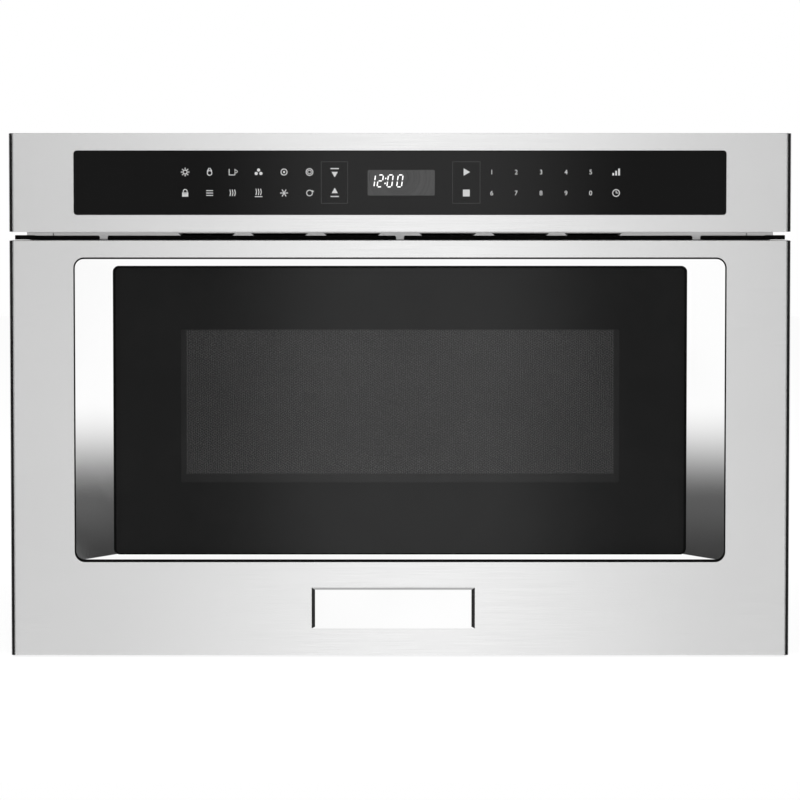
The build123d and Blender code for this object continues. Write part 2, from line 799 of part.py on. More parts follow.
with BuildPart() as stirrer:
    hub_z = (cavity_z[1] + stirrer_lift, cavity_z[1] + stirrer_lift + stirrer_hub_rise)
    rods("Z", [(0, stirrer_y)], stirrer_hub, hub_z)
    rods("Z", [(0, stirrer_y)], stirrer_shaft, (hub_z[1], guide_top + 10))
    with Locations((0, stirrer_y, sum(hub_z) / 2)):
        with PolarLocations(blade_reach / 2 + 2, 3):
            Box(blade_reach - 4, blade_width, blade_sheet, rotation=(blade_tilt, 0, 0))
save(stirrer, "stirrer")

# ---------------------------------------------------------------- cooling fan

fan_z = sum(grown(yoke_z, -yoke_sheet)) / 2
fan_centre = [(rear_middle, fan_z)]
ring_x = (fan_x - fan_ring_length, fan_x)
strut_x = (ring_x[0] - fan_strut, ring_x[0])
with BuildPart() as fan_shroud:
    plate_z = grown((fan_z, fan_z), ring_radius + fan_plate_border)
    block((fan_x - fan_plate, fan_x), (cavity_shell_back, inner_rear_y), plate_z)
    rods("X", fan_centre, ring_radius + fan_ring_wall, ring_x)
    rods("X", fan_centre, ring_radius, grown(ring_x, 1), Mode.SUBTRACT)
    block(strut_x, around(rear_middle, 2 * ring_radius + fan_ring_wall), around(fan_z, fan_strut_width))
    block(strut_x, around(rear_middle, fan_strut_width), around(fan_z, 2 * ring_radius + fan_ring_wall))
    rods("X", fan_centre, 4, grown(strut_x, 1), Mode.SUBTRACT)
save(fan_shroud, "fan_shroud")

motor_x = (strut_x[0] - fan_motor_stack, strut_x[0])
with BuildPart() as fan_motor:
    motor_y = around(rear_middle, fan_motor_size)
    block(motor_x, motor_y, around(fan_z, fan_motor_size - 10))
    fillet(edges().filter_by(Axis.X), 4)
    coil_z = around(fan_z - fan_motor_size / 2, 26)
    block(grown(motor_x, 5), around(rear_middle, 26), coil_z)
    block(strut_x, around(rear_middle, 30), coil_z, Mode.SUBTRACT)
    block((strut_x[0], strut_x[1] + 10), around(rear_middle, 40), coil_z, Mode.SUBTRACT)
    rods("X", fan_centre, fan_shaft + bearing_gap, (motor_x[1] - 12, motor_x[1] + 8), Mode.SUBTRACT)
save(fan_motor, "fan_motor")

with BuildPart() as fan_wheel:
    hub_x = (ring_x[0] + 3, ring_x[1] - 3)
    rods("X", fan_centre, fan_hub_radius, hub_x)
    rods("X", fan_centre, fan_shaft, (motor_x[1] - 10, hub_x[0]))
    with Locations(Plane.YZ.offset(sum(hub_x) / 2).location * Location((rear_middle, fan_z, 0))):
        with PolarLocations((fan_hub_radius + fan_radius) / 2 - 1, fan_blades):
            Box(fan_radius - fan_hub_radius, 22, 1.2, rotation=(24, 0, 0))
save(fan_wheel, "fan_wheel")

# ---------------------------------------------------------------- high-voltage supply

core_x = around(outlet_x, core_width)
core_y = around(rear_middle, core_depth)
core_z = (base_top + 2, base_top + 2 + core_height)
winding_z = (core_z[0] + core_limb, core_z[1] - core_limb)
window_half = core_width / 2 - core_limb
with BuildPart() as transformer_core:
    block(core_x, core_y, core_z)
    block(grown(core_x, 6), grown(core_y, 6), (base_top, base_top + 2))
    for side in (-1, 1):
        window_x = sorted((outlet_x + side * core_limb, outlet_x + side * window_half))
        block(window_x, grown(core_y, 1), winding_z, Mode.SUBTRACT)
save(transformer_core, "transformer_core")

with BuildPart() as transformer_windings:
    middle_z = sum(winding_z) / 2
    for coil_span in ((winding_z[0] + 1, middle_z - 2), (middle_z + 2, winding_z[1] - 1)):
        block(around(outlet_x, 2 * window_half - 1), grown(core_y, winding_overhang), coil_span)
        core_hole = around(outlet_x, 2 * core_limb + 0.6)
        block(core_hole, grown(core_y, 0.3), coil_span, Mode.SUBTRACT)
    fillet(edges().filter_by(Axis.Z).group_by(Axis.Y)[0], 8)
    fillet(edges().filter_by(Axis.Z).group_by(Axis.Y)[-1], 8)
save(transformer_windings, "transformer_windings")

capacitor_x = (-capacitor_length - 10, -10)
capacitor_z = base_top + clamp_sheet + capacitor_rise / 2
with BuildPart() as high_voltage_capacitor:
    with BuildSketch(Plane.YZ.offset(capacitor_x[0])) as can_section:
        with Locations((rear_middle, capacitor_z)):
            SlotOverall(capacitor_width, capacitor_rise)
    extrude(can_section.sketch, amount=capacitor_length)
    terminals = [(rear_middle - 10, capacitor_z), (rear_middle + 10, capacitor_z)]
    rods("X", terminals, 4, (capacitor_x[1], capacitor_x[1] + 6))
save(high_voltage_capacitor, "high_voltage_capacitor")

with BuildPart() as capacitor_clamp:
    clamp_plane = Plane.YZ.offset(sum(capacitor_x) / 2 - clamp_width / 2)
    with BuildSketch(clamp_plane) as clamp_section:
        with Locations((rear_middle, capacitor_z)):
            SlotOverall(capacitor_width + 2 * clamp_sheet, capacitor_rise + 2 * clamp_sheet)
            SlotOverall(capacitor_width, capacitor_rise, mode=Mode.SUBTRACT)
        with Locations((rear_middle, base_top + clamp_sheet / 2)):
            Rectangle(capacitor_width + 30, clamp_sheet)
    extrude(clamp_section.sketch, amount=clamp_width)
save(capacitor_clamp, "capacitor_clamp")

filter_board_x = (-case_in + 22, -case_in + 112)
filter_board_z = (base_top + 100, base_top + 160)
with BuildPart() as noise_filter_board:
    board_face = inner_rear_y - 8
    block(filter_board_x, (board_face - board_sheet, board_face), filter_board_z)
    corners = grid(grown(filter_board_x, -6), grown(filter_board_z, -6))
    rods("Y", corners, 3, (board_face, inner_rear_y))
    choke_at = [(filter_board_x[0] + 28, sum(filter_board_z) / 2)]
    rods("Y", choke_at, 14, (board_face - board_sheet - 14, board_face - board_sheet))
    rods("Y", choke_at, 6, (board_face - board_sheet - 15, board_face - board_sheet), Mode.SUBTRACT)
    block(
        (filter_board_x[1] - 36, filter_board_x[1] - 12),
        (board_face - board_sheet - 18, board_face - board_sheet),
        around(sum(filter_board_z) / 2, 30),
    )
save(noise_filter_board, "noise_filter_board")

# ---------------------------------------------------------------- slides


def rails(web_x, lip_x, y, z):
    """The two rails of one slide member: a web and two lips, on the right and mirrored."""
    for side in (-1, 1):
        block(sided(side, *web_x), y, z)
        block(sided(side, *lip_x), y, (z[0], z[0] + rail_sheet))
        block(sided(side, *lip_x), y, (z[1] - rail_sheet, z[1]))


outer_z = (slide_z, slide_z + slide_height)
middle_rail_z = grown(outer_z, -rail_sheet - ball_gap)
inner_rail_z = grown(middle_rail_z, -rail_sheet - ball_gap)
outer_web = (case_in - rail_sheet, case_in)
middle_web = (outer_web[0] - 3.4, outer_web[0] - 3.4 + rail_sheet)
inner_web = (slide_in, slide_in + rail_sheet)

with BuildPart() as outer_rails:
    rails(outer_web, (slide_in + 1.7, outer_web[0]), (case_y, case_y + rail_length), outer_z)
save(outer_rails, "outer_rails")

with BuildPart() as middle_rails:
    middle_y = (case_y + 2, case_y + rail_length - 18)
    rails(middle_web, (slide_in + 1.3, middle_web[0]), middle_y, middle_rail_z)
save(middle_rails, "middle_rails")

with BuildPart() as inner_rails:
    inner_y = (drawer_back_y, case_y + rail_length - 14)
    rails(inner_web, (inner_web[1], middle_web[0] - 1.2), inner_y, inner_rail_z)
save(inner_rails, "inner_rails")

# Rows of steel balls in their cages run between the members' lips. The rows between the outer and
# the middle member sit in the rear half and those inside the middle member in the front half.
ball_radius = (ball_gap - slip) / 2
ball_rows = (
    (outer_web[0] - 6.6, middle_rail_z[0] - ball_radius, middle_y[1] - 15, -1),
    (outer_web[0] - 6.6, middle_rail_z[1] + ball_radius, middle_y[1] - 15, -1),
    (slide_in + 4.1, middle_rail_z[0] + rail_sheet + ball_radius, middle_y[0] + 15, 1),
    (slide_in + 4.1, middle_rail_z[1] - rail_sheet - ball_radius, middle_y[0] + 15, 1),
)
with BuildPart() as slide_balls:
    for side in (-1, 1):
        for ball_x, ball_z, first_y, step in ball_rows:
            ball_places = [(side * ball_x, y, ball_z) for y in row(first_y, step * ball_pitch, ball_count)]
            with Locations(*ball_places):
                Sphere(ball_radius)
            cage_y = sorted((first_y - step * 5, ball_places[-1][1] + step * 5))
            block(around(side * ball_x, cage_width), cage_y, around(ball_z, cage_sheet))
save(slide_balls, "slide_balls")

# ---------------------------------------------------------------- drive


def tooth_half_angle(radius):
    """Half the angle that a pinion tooth fills at a radius, from the involute of its base circle."""
    here = acos(min(1, base_radius / radius))
    at_pitch = pi / (2 * pinion_teeth) - backlash / (4 * pitch_radius)
    return at_pitch + (tan(pressure) - pressure) - (tan(here) - here)


def on_tooth(radius, side):
    """A point on one flank of the tooth that points along +X."""
    angle = side * tooth_half_angle(radius)
    return (radius * cos(angle), radius * sin(angle))


root_radius = pitch_radius - dedendum
tip_radius = pitch_radius + gear_module
pinion_z = (rack_z, rack_z + rack_height)
mid_radius = (base_radius + tip_radius) / 2
flank_radii = (base_radius, mid_radius, tip_radius)
tooth_foot = root_radius - 0.5
with BuildSketch() as pinion_tooth:
    with BuildLine():
        ThreePointArc(*[on_tooth(radius, 1) for radius in flank_radii])
        Line(on_tooth(tip_radius, 1), on_tooth(tip_radius, -1))
        ThreePointArc(*[on_tooth(radius, -1) for radius in reversed(flank_radii)])
        Polyline(
            on_tooth(base_radius, -1),
            (tooth_foot, on_tooth(base_radius, -1)[1]),
            (tooth_foot, on_tooth(base_radius, 1)[1]),
            on_tooth(base_radius, 1),
        )
    make_face()

with BuildPart() as drive_pinion:
    with BuildSketch(Plane.XY.offset(pinion_z[0])):
        with Locations((0, pinion_y)):
            Circle(root_radius)
            with PolarLocations(0, pinion_teeth):
                add(pinion_tooth.sketch)
    extrude(amount=rack_height)
    rods("Z", [(0, pinion_y)], pinion_shaft, (gearbox_top - 12, pinion_z[1] + 3))
save(drive_pinion, "drive_pinion")

rack_y = (drawer_back_y, drawer_back_y + rack_length)
with BuildPart() as drive_rack:
    block((rack_root, rack_root + rack_back), rack_y, pinion_z)
    first_tooth = pinion_y - (int((pinion_y - rack_y[0] - 6) / tooth_pitch) + 0.5) * tooth_pitch
    tooth_count = int((rack_y[1] - 4 - first_tooth) / tooth_pitch) + 1
    half_pitch_line = tooth_pitch / 4 - backlash / 4
    half_tip = half_pitch_line - gear_module * tan(pressure)
    half_root = half_pitch_line + dedendum * tan(pressure)
    with BuildSketch(Plane.XY.offset(pinion_z[0])):
        with Locations(*[(0, y) for y in row(first_tooth, tooth_pitch, tooth_count)]):
            Polygon(
                (rack_root, -half_root),
                (rack_root, half_root),
                (pitch_radius - gear_module, half_tip),
                (pitch_radius - gear_module, -half_tip),
                align=None,
            )
    extrude(amount=rack_height)
save(drive_rack, "drive_rack")

# The gearbox carries the pinion, and its arm guides the rack from below and from behind.
gearbox_x = (-pitch_radius - gearbox_side, pitch_radius + 1)
rack_behind = rack_root + rack_back + slip
with BuildPart() as drive_gearbox:
    block(gearbox_x, around(pinion_y, gearbox_depth), (base_top, gearbox_top))
    fillet(edges().filter_by(Axis.Z), 3)
    block((pitch_radius, rack_behind + 4), around(pinion_y, guide_arm), (base_top, rack_z - slip))
    block((rack_behind, rack_behind + 4), around(pinion_y, guide_arm), (base_top, pinion_z[1] + 2))
    rods("Z", [(0, pinion_y)], pinion_shaft + bearing_gap, (gearbox_top - 13, gearbox_top + 1), Mode.SUBTRACT)
save(drive_gearbox, "drive_gearbox")

with BuildPart() as drive_motor:
    motor_centre = [(pinion_y, base_top + 1 + motor_radius)]
    rods("X", motor_centre, motor_radius, (gearbox_x[0] - motor_length, gearbox_x[0]))
    fillet(edges().sort_by(Axis.X)[0], 2)
    rods("X", motor_centre, 5, (gearbox_x[0] - motor_length - 4, gearbox_x[0] - motor_length))
    block((gearbox_x[0] - 45, gearbox_x[0] - 15), around(pinion_y, 30), (base_top, base_top + 4))
save(drive_motor, "drive_motor")

# ---------------------------------------------------------------- interlock

with BuildPart() as interlock_switches:
    for side in (-1, 1):
        body_x = sided(side, *switch_x)
        body_y = (switch_front, switch_front + switch_size[1])
        block(body_x, body_y, around(hook_z, switch_size[2]))
        for terminal_z in (hook_z - 9, hook_z, hook_z + 9):
            block(around(side * hook_x, 0.8), (body_y[1], body_y[1] + 7), around(terminal_z, 5))
        hole = [(side * hook_x, hook_z)]
        rods("Y", hole, plunger_radius + bearing_gap, (switch_front, switch_front + 7), Mode.SUBTRACT)
save(interlock_switches, "interlock_switches")


def plunger(side):
    """The switch's plunger, pressed in by the hook of the closed drawer."""
    tip = switch_front - switch_gap + slip
    rods("Y", [(side * hook_x, hook_z)], plunger_radius, (tip, switch_front + 5))
    fillet(edges().filter_by(GeomType.CIRCLE).sort_by(Axis.Y)[0], 0.5)


with BuildPart() as left_switch_plunger:
    plunger(-1)
save(left_switch_plunger, "left_switch_plunger")

with BuildPart() as right_switch_plunger:
    plunger(1)
save(right_switch_plunger, "right_switch_plunger")

with BuildPart() as switch_actuators:
    for side in (-1, 1):
        hook_y = (drawer_back_y, drawer_back_y + hook_reach)
        block(around(side * hook_x, hook_width), hook_y, around(hook_z, hook_height))
    chamfer(faces().sort_by(Axis.Y)[-2:].edges(), 1.5)
save(switch_actuators, "switch_actuators")

# ---------------------------------------------------------------- drawer front

with BuildPart() as drawer_front_skin:
    panel_skin(drawer_z, drawer_back_y)
    plate(
        grown((-recess_half, recess_half), reveal),
        (front_y - 1, front_y + skin + 1),
        grown(recess_z, reveal),
        recess_radius + reveal,
        Mode.SUBTRACT,
    )
save(drawer_front_skin, "drawer_front_skin")


def rounded_outline(y, x, z, radius):
    """A rectangle with rounded corners, on a plane parallel to the front."""
    with BuildSketch(Plane.XZ.offset(-y)) as outline:
        with Locations((sum(x) / 2, sum(z) / 2)):
            RectangleRounded(x[1] - x[0], z[1] - z[0], radius)
    return outline.sketch


def recess_outline(y, border):
    """The recess's outline, drawn in or let out."""
    radius = recess_radius + border
    return rounded_outline(y, grown((-recess_half, recess_half), border), grown(recess_z, border), radius)


def pane_outline(y, border):
    """The outline of the pane's visible part, let out."""
    radius = pane_radius + border
    return rounded_outline(y, grown((-pane_half, pane_half), border), grown(pane_z, border), radius)


rim = 0.4
flange_sheet = 1.0
bezel_back = front_y + recess_depth + bezel_wall
with BuildPart() as recess_bezel:
    # the outside: a straight rim, a flange behind the skin and the back of the sloping walls
    extrude(recess_outline(front_y + bezel_wall, 0), amount=bezel_wall)
    loft([recess_outline(front_y + bezel_wall, 0), pane_outline(bezel_back, rim)])
    flange_y = front_y + skin + flange_sheet
    extrude(recess_outline(flange_y, bezel_flange), amount=flange_sheet)
    # the inside: the sloping walls and the opening that the pane shows through
    loft([recess_outline(front_y, -rim), pane_outline(front_y + recess_depth, 0)], mode=Mode.SUBTRACT)
    extrude(pane_outline(bezel_back, 0), amount=bezel_wall, mode=Mode.SUBTRACT)
save(recess_bezel, "recess_bezel")

with BuildPart() as door_glass:
    plate(
        grown((-pane_half, pane_half), pane_tuck_side),
        (pane_y, pane_back),
        grown(pane_z, pane_tuck_over),
        pane_radius + pane_tuck_over,
    )
save(door_glass, "door_glass")

screen_half = pane_half + 0.5
screen_z = grown(pane_z, -4)
with BuildPart() as window_screen:
    plate((-screen_half, screen_half), (screen_y, inner_frame_y), screen_z, 4)
save(window_screen, "window_screen")

with BuildPart() as glass_gasket:
    gasket_x = grown((-screen_half, screen_half), -2)
    gasket_z = grown(screen_z, -2)
    plate(gasket_x, (pane_back, screen_y), gasket_z, 8)
    plate(
        grown(gasket_x, -gasket_width),
        (pane_back - 1, screen_y + 1),
        grown(gasket_z, -gasket_width),
        4,
        Mode.SUBTRACT,
    )
save(glass_gasket, "glass_gasket")

with BuildPart() as badge_plate:
    # a plain foot, then bevels that are wider at the sides than above and below
    badge_middle = (badge_x, drawer_z[0] + badge_z)
    foot_y = front_y - badge_depth + badge_bevel_depth
    block(around(badge_x, badge_width), (foot_y, front_y), around(badge_middle[1], badge_height))
    with BuildSketch(Plane.XZ.offset(-foot_y)) as badge_foot:
        with Locations(badge_middle):
            Rectangle(badge_width, badge_height)
    with BuildSketch(Plane.XZ.offset(badge_bevel_depth - foot_y)) as badge_face:
        with Locations(badge_middle):
            Rectangle(badge_width - 2 * badge_bevel_side, badge_height - 2 * badge_bevel_over)
    loft([badge_foot.sketch, badge_face.sketch])
save(badge_plate, "badge_plate")

# The inner frame closes the drawer front's back. It is a shallow pressing with a window, a seat for
# the inner pane and, all round the mouth of the oven, a groove that keeps microwaves in.
wall = frame_sheet
mouth_x = (-cavity_half, cavity_half)
window_x = grown(mouth_x, -38)
window_z = (cavity_z[0] + 50, cavity_z[1] - 8)
groove_in = 8.0
groove_out = 22.0
cover_border = 2.0
cover_sheet = 2.0
window_lip = 14.0
frame_x = (-inner_frame_half, inner_frame_half)
inner_pane_y = (drawer_back_y - inner_pane, drawer_back_y)
back_plate_y = (drawer_back_y - frame_sheet, drawer_back_y)
groove_floor = inner_frame_y + rim_hollow_depth + wall


def mouth_plate(border, y, mode):
    """A plate as large as the oven's mouth and a border, parallel to the front."""
    plate(grown(mouth_x, border), y, grown(cavity_z, border), cavity_radius + border, mode)


def mouth_ring(inner, outer, y, mode):
    """A ring round the oven's mouth between two borders."""
    with BuildSketch(Plane.XZ.offset(-y[1])) as ring:
        with Locations((0, sum(cavity_z) / 2)):
            for border, ring_mode in ((outer, Mode.ADD), (inner, Mode.SUBTRACT)):
                RectangleRounded(
                    2 * (cavity_half + border),
                    cavity_z[1] - cavity_z[0] + 2 * border,
                    cavity_radius + border,
                    mode=ring_mode,
                )
    extrude(ring.sketch, amount=y[1] - y[0], mode=mode)


with BuildPart() as door_frame:
    plate(frame_x, (inner_frame_y, drawer_back_y), inner_frame_z, 3)
    block(
        (-width / 2 + skin, width / 2 - skin),
        back_plate_y,
        grown(drawer_z, -skin),
    )
    # hollows open to the front: the rim, the field inside the groove and the groove's floor
    plate(
        grown(frame_x, -wall),
        (inner_frame_y, groove_floor - wall),
        grown(inner_frame_z, -wall),
        2,
        Mode.SUBTRACT,
    )
    with BuildSketch(Plane.XZ.offset(-back_plate_y[0])) as rim_hollow:
        with Locations((0, sum(inner_frame_z) / 2)):
            RectangleRounded(2 * (inner_frame_half - wall), inner_frame_z[1] - inner_frame_z[0] - 2 * wall, 2)
        with Locations((0, sum(cavity_z) / 2)):
            RectangleRounded(
                2 * (cavity_half + groove_out + wall + cover_border),
                cavity_z[1] - cavity_z[0] + 2 * (groove_out + wall + cover_border),
                cavity_radius + groove_out,
                mode=Mode.SUBTRACT,
            )
    extrude(rim_hollow.sketch, amount=back_plate_y[0] - inner_frame_y, mode=Mode.SUBTRACT)
    mouth_plate(groove_in - wall - cover_border, (inner_frame_y, inner_pane_y[0] - wall), Mode.SUBTRACT)
    # the window's wall goes back in, inside that field
    plate(grown(window_x, wall), (inner_frame_y, drawer_back_y), grown(window_z, wall), 8 + wall)
    plate(window_x, (inner_frame_y - 1, drawer_back_y + 1), window_z, 8, Mode.SUBTRACT)
    plate(grown(window_x, window_lip), inner_pane_y, grown(window_z, window_lip / 2), 8, Mode.SUBTRACT)
    mouth_ring(groove_in, groove_out, (groove_floor, drawer_back_y), Mode.SUBTRACT)
    mouth_ring(
        groove_in - cover_border,
        groove_out + cover_border,
        (drawer_back_y - cover_sheet, drawer_back_y),
        Mode.SUBTRACT,
    )
    for side in (-1, 1):
        bracket_slot = sided(side, inner_frame_half, slide_in + 0.3)
        block(bracket_slot, (back_plate_y[0] - 1, drawer_back_y + 1), grown(inner_rail_z, 0.5), Mode.SUBTRACT)
save(door_frame, "door_frame")

with BuildPart() as choke_cover:
    cover_y = (drawer_back_y - cover_sheet, drawer_back_y)
    mouth_ring(groove_in - cover_border, groove_out + cover_border, cover_y, Mode.ADD)
save(choke_cover, "choke_cover")

with BuildPart() as inner_glass:
    plate(grown(window_x, window_lip), inner_pane_y, grown(window_z, window_lip / 2), 8)
save(inner_glass, "inner_glass")

bumper_x = (inner_frame_half + cavity_half + groove_out + cover_border) / 2
bumper_points = grid((-bumper_x, bumper_x), (slide_slot_z[1] + 20, hook_z - 30))
with BuildPart() as drawer_bumpers:
    rods("Y", bumper_points, bumper_radius, (drawer_back_y, frame_y - slip))
save(drawer_bumpers, "drawer_bumpers")

# ---------------------------------------------------------------- drawer tray and its fixings

tray_half = cavity_half - tray_gap
tray_y = (drawer_back_y, cavity_back - tray_back_gap)
tray_z = (cavity_z[0] + tray_lift, cavity_z[1] - tray_headroom)
with BuildPart() as drawer_tray:
    block((-tray_half, tray_half), tray_y, tray_z)
    fillet(edges().filter_by(Axis.Z).group_by(Axis.Y)[-1], tray_corner)
    fillet(edges().filter_by(Axis.Z).group_by(Axis.Y)[0], 3)
    offset(amount=-tray_wall, openings=faces().sort_by(Axis.Z)[-1])
    # a rim turned out along the sides and the back, and the low front under the inner pane
    with BuildSketch(Plane.XY.offset(tray_z[1] - 1.5)) as rim_band:
        with BuildLine():
            rim_path = FilletPolyline(
                (-tray_half - tray_rim, tray_y[0]),
                (-tray_half - tray_rim, tray_y[1] + tray_rim),
                (tray_half + tray_rim, tray_y[1] + tray_rim),
                (tray_half + tray_rim, tray_y[0]),
                radius=tray_corner + tray_rim,
            )
            Line(rim_path @ 1, rim_path @ 0)
        make_face()
        with BuildLine():
            inner_path = FilletPolyline(
                (-tray_half + 1, tray_y[0]),
                (-tray_half + 1, tray_y[1] - 1),
                (tray_half - 1, tray_y[1] - 1),
                (tray_half - 1, tray_y[0]),
                radius=tray_corner - 1,
            )
            Line(inner_path @ 1, inner_path @ 0)
        make_face(mode=Mode.SUBTRACT)
    extrude(amount=1.5)
    block(
        (-tray_half + 17, tray_half - 17),
        (tray_y[0] - 1, tray_y[0] + tray_wall + 1),
        (tray_z[0] + tray_sill, tray_z[1] + 1),
        Mode.SUBTRACT,
    )
save(drawer_tray, "drawer_tray")

with BuildPart() as ceramic_floor:
    floor_z = (tray_z[0] + tray_wall, tray_z[0] + tray_wall + floor_plate)
    flat_plate(
        grown((-tray_half, tray_half), -tray_wall - 3),
        grown(tray_y, -tray_wall - 3),
        floor_z,
        tray_corner - 3,
    )
save(ceramic_floor, "ceramic_floor")

bracket_y = (inner_frame_y + 1, drawer_back_y + bracket_length)
bracket_screw_y = (inner_frame_y + drawer_back_y) / 2
bracket_screws = grid([bracket_screw_y], grown(inner_rail_z, -6))
with BuildPart() as drawer_brackets:
    for side in (-1, 1):
        block(sided(side, inner_frame_half, slide_in), bracket_y, inner_rail_z)
        through = sided(side, inner_frame_half - 1, slide_in + 1)
        rods("X", bracket_screws, screw_radius, through, Mode.SUBTRACT)
save(drawer_brackets, "drawer_brackets")

with BuildPart() as drawer_screws:
    for side in (-1, 1):
        rods("X", bracket_screws, screw_head, sided(side, slide_in, slide_in + screw_head_rise))
        rods("X", bracket_screws, screw_radius, sided(side, inner_frame_half, slide_in))
save(drawer_screws, "drawer_screws")
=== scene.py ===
# %% [markdown]
# # A built-in microwave drawer
# The imported CAD model gives every sheet, pane, rail and motor its true shape and place. This lesson
# gives them their finishes, and adds what is too thin or too fine for the CAD model: the perforated
# screen behind the window, the black print on the backs of the two glasses, the seals and the painted
# shade in the seams, the marks on the control glass and the clock's digits. Lengths are in metres,
# and the front faces -Y.

# %% Load the imported model
import math

import bmesh
import bpy
from mathutils import Matrix, Vector


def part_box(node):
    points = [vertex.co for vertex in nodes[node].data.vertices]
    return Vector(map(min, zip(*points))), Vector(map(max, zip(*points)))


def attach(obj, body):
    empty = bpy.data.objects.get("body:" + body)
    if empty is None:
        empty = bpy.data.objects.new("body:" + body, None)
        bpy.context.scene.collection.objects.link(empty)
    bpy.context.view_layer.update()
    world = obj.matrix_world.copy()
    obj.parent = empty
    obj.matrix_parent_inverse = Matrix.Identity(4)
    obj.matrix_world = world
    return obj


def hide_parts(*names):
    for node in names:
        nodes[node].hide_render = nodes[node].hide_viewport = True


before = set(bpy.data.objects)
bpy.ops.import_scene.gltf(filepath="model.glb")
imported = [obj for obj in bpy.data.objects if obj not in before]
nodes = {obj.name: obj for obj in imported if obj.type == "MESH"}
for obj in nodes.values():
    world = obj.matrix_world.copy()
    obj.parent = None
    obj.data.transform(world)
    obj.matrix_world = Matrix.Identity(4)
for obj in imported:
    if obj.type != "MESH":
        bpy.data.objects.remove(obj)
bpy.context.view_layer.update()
mm = 0.001


def in_mm(lengths):
    """Lengths in millimetres, to print."""
    return [round(length / mm, 2) for length in lengths]


# %% [markdown]
# ## Colours and shader nodes
# A tone read off a photograph is a display value from 0 to 255, while a shader wants linear light.
# One function turns the first into the second, so the values below can be compared with a picture.
# Small functions that add a node, do a sum and fade from one value to another keep each material
# short enough to read.

# %% Colours


def to_linear(level):
    """Linear light for a display level from 0 to 255, by the sRGB curve."""
    shown = level / 255
    return shown / 12.92 if shown <= 0.04045 else ((shown + 0.055) / 1.055) ** 2.4


def rgb(red, green, blue):
    """A shader colour from display levels."""
    return (to_linear(red), to_linear(green), to_linear(blue), 1.0)


def grey(level):
    """A neutral shader colour from one display level."""
    return rgb(level, level, level)


print("a display level of 128 is", round(to_linear(128), 3), "in linear light")

# %% Shader node helpers


def add(tree, kind, inputs=None, **settings):
    """Adds a node. Inputs are values, or other nodes' outputs, which get linked."""
    made = tree.nodes.new("ShaderNode" + kind)
    for name, value in settings.items():
        setattr(made, name, value)
    for socket, value in (inputs or {}).items():
        if isinstance(value, bpy.types.NodeSocket):
            tree.links.new(value, made.inputs[socket])
        else:
            made.inputs[socket].default_value = value
    return made


def maths(tree, operation, first, second=0.0):
    """One sum, as a socket."""
    return add(tree, "Math", {0: first, 1: second}, operation=operation).outputs[0]


def fade(tree, value, start, end, low=0.0, high=1.0):
    """Goes smoothly from low to high as the value goes from start to end."""
    inputs = {"Value": value, "From Min": start, "From Max": end, "To Min": low, "To Max": high}
    return add(tree, "MapRange", inputs, interpolation_type="SMOOTHSTEP").outputs[0]


def mixed(tree, mask, first, second, kind="RGBA"):
    """A colour, value or direction that goes from the first to the second as the mask rises."""
    socket, result = {"RGBA": (6, 2), "FLOAT": (2, 0), "VECTOR": (4, 1)}[kind]
    inputs = {0: mask, socket: first, socket + 1: second}
    return add(tree, "Mix", inputs, data_type=kind).outputs[result]


def object_place(tree):
    """Where a point lies on its own piece: its Object coordinates."""
    return add(tree, "TexCoord").outputs["Object"]


def noise(tree, place, scale, detail, **shape):
    """A noise texture over a place."""
    return add(tree, "TexNoise", {"Vector": place, "Scale": scale, "Detail": detail, **shape})


def new_group(name, inputs, outputs):
    """A shader node group with these sockets, and its input and output nodes."""
    group = bpy.data.node_groups.new(name, "ShaderNodeTree")
    for label, kind, default in inputs:
        socket = group.interface.new_socket(label, in_out="INPUT", socket_type="NodeSocket" + kind)
        socket.default_value = default
    for label in outputs:
        group.interface.new_socket(label, in_out="OUTPUT", socket_type="NodeSocketFloat")
    return group, group.nodes.new("NodeGroupInput"), group.nodes.new("NodeGroupOutput")


# %% [markdown]
# ## Effects that several finishes share
# Rolled and brushed sheet, cast plastic, zinc spangle and the marks of handling turn up on many
# pieces. Each is made once, as a node group that gives out plain values, and every material sets it
# to its own scale. They read Object coordinates, so a pattern stays on its piece and needs no
# unwrapping.

# %% Grain: noise stretched along one direction
# most of a noise's values lie in these spans, which the fades below stretch to 0 and 1
wide_span, narrow_span = (0.3, 0.7), (0.35, 0.65)

grain, grain_in, grain_out = new_group(
    "grain", [("Stretch", "Vector", (7.0, 700.0, 700.0))], ["Streak", "Cloud"]
)
grain_place = object_place(grain)
grain_stretched = add(
    grain, "VectorMath", {0: grain_place, 1: grain_in.outputs["Stretch"]}, operation="MULTIPLY"
).outputs[0]
grain_streak = noise(grain, grain_stretched, 1.0, 4.0, Roughness=0.62).outputs[0]
grain_cloud = noise(grain, grain_place, 7.0, 2.0).outputs[0]
grain.links.new(fade(grain, grain_streak, *wide_span), grain_out.inputs["Streak"])
grain.links.new(fade(grain, grain_cloud, *narrow_span), grain_out.inputs["Cloud"])
print("grain has", len(grain.nodes), "nodes")

# %% Fine texture: what a mould or a sprayed coat leaves
texture, texture_in, texture_out = new_group(
    "fine texture", [("Scale", "Float", 900.0)], ["Height", "Patch"]
)
texture_place = object_place(texture)
texture_scale = texture_in.outputs["Scale"]
texture_fine = noise(texture, texture_place, texture_scale, 3.0, Roughness=0.6).outputs[0]
texture_patch = noise(texture, texture_place, 16.0, 3.0).outputs[0]
texture.links.new(texture_fine, texture_out.inputs["Height"])
texture.links.new(fade(texture, texture_patch, *narrow_span), texture_out.inputs["Patch"])
print("fine texture has", len(texture.nodes), "nodes")

# %% Spangle: the crystals of a zinc coat
crystal_bend = 6.0 * mm  # how far the crystals' straight edges are pushed about

